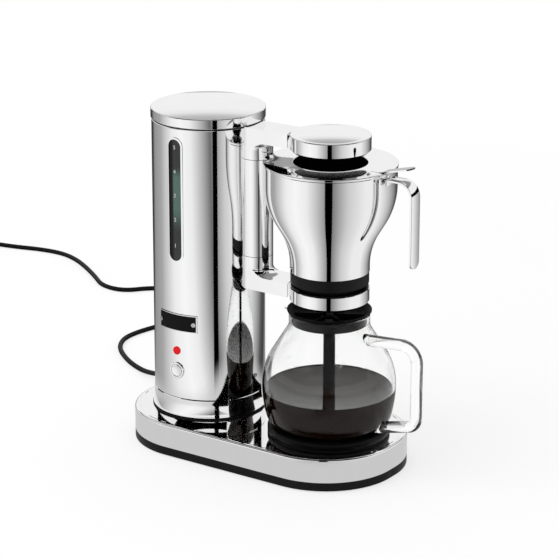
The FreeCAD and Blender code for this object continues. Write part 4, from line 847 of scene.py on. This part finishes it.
def makeCarafe(c):
    glassZ = heights("carafe_glass")[0]
    outer = carafeWall(c, 0, glassZ)
    inner = carafeWall(c, c["wall"], glassZ)
    back = [(cr, cz, r, end, start) for cr, cz, r, start, end in reversed(inner[:4])]
    rimZ = outer[4][1]
    lip = (c["neck"] - c["wall"] / 2, rimZ - c["rimRound"], c["wall"] / 2, 0, 180)
    neck, bore = c["neck"], c["neck"] - c["wall"]
    lowZ, highZ = rimZ - c["rimLow"], rimZ - c["rimHigh"]
    rim = [(neck, lowZ), (neck, highZ), lip, (bore, highZ), (bore, lowZ)]
    steps = [(0, glassZ)] + outer[:4] + rim + back + [(0, glassZ + c["wall"])]
    bm = turn(steps, brewX, 192, 16)
    for v in bm.verts:   # the pouring lip, pulled out of the rim opposite the handle
        rise = (v.co.z / mm - rimZ + c["lipDrop"]) / c["lipDrop"]
        off = Vector((v.co.x / mm - brewX, v.co.y / mm))
        aside = abs(math.degrees(math.atan2(off.y, -off.x))) / c["lipHalf"]
        if rise > 0 and aside < 1 and off.length > c["neck"] - 2 * c["wall"]:
            pull = c["lipReach"] * min(rise, 1) ** 2 * (1 - aside * aside) ** 2 * c["lipShare"]
            v.co.x -= pull * mm
            v.co.z -= pull * c["lipDroop"] * mm
    addPiece(bm, "carafeGlass", "carafe", "carafe_glass", ("carafe_glass",), blownFinish, 50)
    level = c["coffeeTop"]
    film = c["wall"] - c["filmGap"]
    corner, belly = carafeWall(c, film, glassZ)[:2]
    lowerX, bellyZ, radius, start = belly[:4]
    end = math.degrees(math.asin((level + c["meniscus"] - bellyZ) / radius))
    edge = lowerX + radius * math.cos(math.radians(end))
    inward, upward = c["meniscusMid"]
    steps = [(0, glassZ + film), corner, (lowerX, bellyZ, radius, start, end),
             (edge - inward, level + upward), (edge - c["meniscusRun"], level), (0, level)]
    addPiece(turn(steps, brewX, 160, 14), "coffee", "carafe", None, (), coffeeFinish, 50)


makeCarafe(carafeShape)
print("carafe made")

# The CAD nodes that stay get their slot's finish
shown = 0
for node, thing in frame["nodes"].items():
    if not thing.hide_render:
        for place in thing.material_slots:
            place.link = "OBJECT"
            place.material = finishes[slotOf[node]]
        shown += 1
print("CAD nodes kept:", shown)

# Studio: pale floor, soft dome, a softbox, and cards that only polished metal sees
studio = {"floorHalf": 6.0, "floorTone": 0.82, "domeLevel": 0.80, "skyLevel": 0.92, "cameraSide": -55.9,
          "shadowShare": 0.34, "fadeFrom": 0.5, "fadeTo": 1.6, "clearTo": 0.45, "darkFrom": 0.8,
          "lampPower": 26, "lampSize": 2.2, "lampPlace": (-0.9, -1.3, 2.4), "lampAim": (0, 0, 0.15),
          "sweepFrom": 0.039, "contactShadeLevel": 0.62, "contactShadeFrom": 0.06, "contactShadeTo": 0.16,
          "sweep": [(-180, 0.4), (-165, 0.05), (-145, 0.05), (-135, 0.3), (-110, 0.4), (-80, 0.9), (-60, 1.0),
                    (-40, 0.9), (0, 0.15), (30, 0.65), (60, 0.9), (90, 0.9), (145, 0.1), (160, 0.05),
                    (180, 0.4)],
          "through": [(0, 0.10), (60, 0.12), (95, 0.45), (125, 1.0), (180, 1.0)],
          "wedgeSide": -42.0, "wedgeHalf": 4.6, "wedgeFrom": (0.05, 0.08), "wedgeTo": (0.34, 0.3),
          "stripePlace": (0.224, -0.284), "stripeWidth": 0.068, "stripeTop": 0.45,
          "bandReach": 0.85, "bandLow": 0.28, "bandHigh": 0.47, "bandSpread": 280,
          "ceiling": 1.2, "frontFrom": 0.25, "frontReach": 1.7, "frontWidth": 6.4,
          "ceilingWidth": 2.0, "ceilingEnd": 2.6,
          "overhead": [(0.0, 0.25), (1.4, 0.3), (1.85, 0.55), (2.1, 0.85), (2.6, 0.95)],
          "backReach": 2.5, "backTop": 0.52, "backWidth": 4.0, "backLevel": 0.55, "lift": 0.001}


def rayIs(s, *kinds):
    total = None
    for kind in kinds:
        ray = s.node("ShaderNodeLightPath", out=kind)
        total = ray if total is None else s.maths("MAXIMUM", total, ray)
    return total


def mixShaders(s, share, first, second):
    return s.node("ShaderNodeMixShader", None, {0: share, 1: first, 2: second})


# The direction of a floor point, seen from a point on the X axis and counted from one side
def floorAngle(s, x, side):
    place = s.vector("SUBTRACT", objectPlace(s), (x, 0, 0))
    place = s.node("ShaderNodeVectorRotate", {"rotation_type": "Z_AXIS"},
                   {"Vector": place, "Angle": -math.radians(side)})
    return s.maths("ARCTAN2", place.part("Y"), place.part("X"))


def sweepAngle(s, c):
    return floorAngle(s, c["sweepFrom"], c["cameraSide"])


# How far a floor point lies outside the base's rounded outline
def baseDistance(s):
    run = (coverShape["length"] - coverShape["width"]) / 2 * mm
    past = s.maths("MAXIMUM", s.maths("ABSOLUTE", objectPlace(s).part("X") - baseX * mm) - run, 0.0)
    y = objectPlace(s).part("Y")
    return s.maths("SQRT", past * past + y * y) - coverShape["width"] / 2 * mm


# Light panels left and right, a dark wedge that carries the tower's stripe down to its foot, and a painted
# contact shadow round the base that only reflections show
def sweepLevel(s, c):
    stops = [((degrees + 180) / 360, level) for degrees, level in c["sweep"]]
    swept = s.node("ShaderNodeValToRGB", {"stops": stops}, {0: sweepAngle(s, c) / math.tau + 0.5})
    away = baseDistance(s)
    aside = s.maths("ABSOLUTE", floorAngle(s, towerX * mm, c["wedgeSide"]))
    half = math.radians(c["wedgeHalf"])
    wedge = ranged(s, aside, half * 1.06, half * 0.94)
    wedge = wedge * ranged(s, away, *c["wedgeFrom"]) * ranged(s, away, *c["wedgeTo"])
    swept = blend(s, wedge, swept, (0, 0, 0, 1))
    # painted shadow: close to the base's outline the floor's reflected level drops to a darker grey
    near = c["contactShadeLevel"]
    return blend(s, ranged(s, away, c["contactShadeFrom"], c["contactShadeTo"]), (near, near, near, 1), swept)


def makeFloor(c):
    bm = bmesh.new()
    bmesh.ops.create_grid(bm, x_segments=1, y_segments=1, size=c["floorHalf"])
    mesh = meshFrom(bm, "floor")
    floor = addThing("floor", mesh)
    finish = bpy.data.materials.new("paleFloor")
    finish.use_nodes = True
    tree = finish.node_tree
    tree.nodes.remove(tree.nodes["Principled BSDF"])
    s = Shade(tree)
    tone = c["floorTone"]
    white = s.node("ShaderNodeEmission", None, {"Color": (1, 1, 1, 1), "Strength": 1.0})
    matt = s.node("ShaderNodeBsdfDiffuse", None, {"Color": (1, 1, 1, 1)})
    plain = s.node("ShaderNodeBsdfDiffuse", None, {"Color": (tone, tone, tone, 1)})
    swept = s.node("ShaderNodeEmission", None, {"Color": sweepLevel(s, c), "Strength": 1.0})
    reach = s.vector("LENGTH", objectPlace(s), out="Value")
    stops = [(degrees / 180, level) for degrees, level in c["through"]]
    side = s.maths("ABSOLUTE", sweepAngle(s, c)) / math.pi
    side = s.node("ShaderNodeValToRGB", {"stops": stops}, {0: side})
    side = blend(s, ranged(s, reach, c["clearTo"], c["darkFrom"]), (1, 1, 1, 1), side)
    behind = s.node("ShaderNodeEmission", None, {"Color": side, "Strength": 1.0})
    shaded = ranged(s, reach, c["fadeTo"], c["fadeFrom"]) * c["shadowShare"]
    seen = mixShaders(s, shaded, white, matt)
    look = mixShaders(s, rayIs(s, "Is Camera Ray"), plain, seen)
    look = mixShaders(s, rayIs(s, "Is Glossy Ray"), look, swept)
    look = mixShaders(s, rayIs(s, "Is Transmission Ray"), look, behind)
    s.link(look, tree.nodes["Material Output"].inputs["Surface"])
    mesh.materials.append(finish)


def flatSheet(width, length, turnIt, place):
    bm = bmesh.new()
    bmesh.ops.create_grid(bm, x_segments=1, y_segments=1, size=0.5)
    bmesh.ops.scale(bm, verts=bm.verts, vec=(width, length, 1))
    bmesh.ops.rotate(bm, verts=bm.verts, cent=(0, 0, 0), matrix=turnIt)
    bmesh.ops.translate(bm, verts=bm.verts, vec=place)
    return bm


def roundBand(radius, low, high, middle, spread):
    bm = bmesh.new()
    start = middle - spread / 2
    foot = bm.verts.new((radius * math.cos(start), radius * math.sin(start), low))
    top = bm.verts.new((foot.co.x, foot.co.y, high))
    edge = bm.edges.new((foot, top))
    bmesh.ops.spin(bm, geom=[foot, top, edge], cent=(0, 0, 0), axis=(0, 0, 1), angle=spread, steps=48)
    return bm


# A card that only polished metal sees: black, or with levels by distance along one direction
def makeCard(name, bm, levels=None, along=None):
    mesh = meshFrom(bm, name)
    card = addThing(name, mesh)
    finish, s, shader = newFinish(name, Roughness=1.0, Specular_IOR_Level=0.0)
    shader.inputs["Base Color"].default_value = (0, 0, 0, 1)
    if levels:
        reach = levels[-1][0]
        stops = [(at / reach, level) for at, level in levels]
        distance = s.vector("DOT_PRODUCT", objectPlace(s), along, out="Value")
        s.link(s.node("ShaderNodeValToRGB", {"stops": stops}, {0: distance / reach}),
               shader.inputs["Emission Color"])
        shader.inputs["Emission Strength"].default_value = 1.0
    mesh.materials.append(finish)
    card.visible_camera = False
    card.visible_diffuse = False
    card.visible_transmission = False
    card.visible_shadow = False


def makeWorld(c):
    world = bpy.data.worlds.new("studioDome")
    scene.world = world
    world.use_nodes = True
    tree = world.node_tree
    s = Shade(tree)
    soft = s.node("ShaderNodeBackground", None, {"Color": (1, 1, 1, 1), "Strength": c["domeLevel"]})
    white = s.node("ShaderNodeBackground", None, {"Color": (1, 1, 1, 1), "Strength": 1.0})
    sky = s.node("ShaderNodeBackground", None, {"Color": (1, 1, 1, 1), "Strength": c["skyLevel"]})
    look = mixShaders(s, rayIs(s, "Is Glossy Ray"), soft, sky)
    look = mixShaders(s, rayIs(s, "Is Camera Ray", "Is Transmission Ray"), look, white)
    s.link(look, tree.nodes["World Output"].inputs["Surface"])


def makeSoftbox(c):
    data = bpy.data.lights.new("softbox", "AREA")
    data.energy = c["lampPower"]
    data.shape = "SQUARE"
    data.size = c["lampSize"]
    lamp = addThing("softbox", data)
    lamp.location = c["lampPlace"]
    lamp.rotation_euler = (Vector(c["lampAim"]) - lamp.location).to_track_quat("-Z", "Y").to_euler()
    lamp.visible_glossy = False


def makeStudio(c):
    makeFloor(c)
    makeWorld(c)
    makeSoftbox(c)
    side = math.radians(c["cameraSide"])
    toward = Vector((math.cos(side), math.sin(side), 0))
    upright = Matrix.Rotation(side + math.pi / 2, 3, "Z") @ Matrix.Rotation(math.pi / 2, 3, "X")
    flat = Matrix.Rotation(side + math.pi / 2, 3, "Z")
    x, y = c["stripePlace"]
    sheet = flatSheet(c["stripeWidth"], c["stripeTop"], upright, (x, y, c["stripeTop"] / 2 + c["lift"]))
    makeCard("stripeCard", sheet)
    spread = math.radians(c["bandSpread"])
    makeCard("frontBand", roundBand(c["bandReach"], c["bandLow"], c["bandHigh"], side, spread))
    place = toward * -c["backReach"] + Vector((0, 0, c["backTop"] / 2 + c["lift"]))
    makeCard("backCard", flatSheet(c["backWidth"], c["backTop"], upright, place),
             [(0, c["backLevel"]), (c["backReach"] * 2, c["backLevel"])], -toward)
    near, far = c["frontFrom"], c["frontReach"]
    above = Vector((0, 0, c["ceiling"]))
    makeCard("frontCeiling", flatSheet(c["frontWidth"], far - near, flat, toward * (near + far) / 2 + above))
    span = near + c["ceilingEnd"]
    sheet = flatSheet(c["ceilingWidth"], span, flat, toward * (near - span / 2) + above)
    makeCard("backCeiling", sheet, c["overhead"], -toward)


makeStudio(studio)
print("studio made")
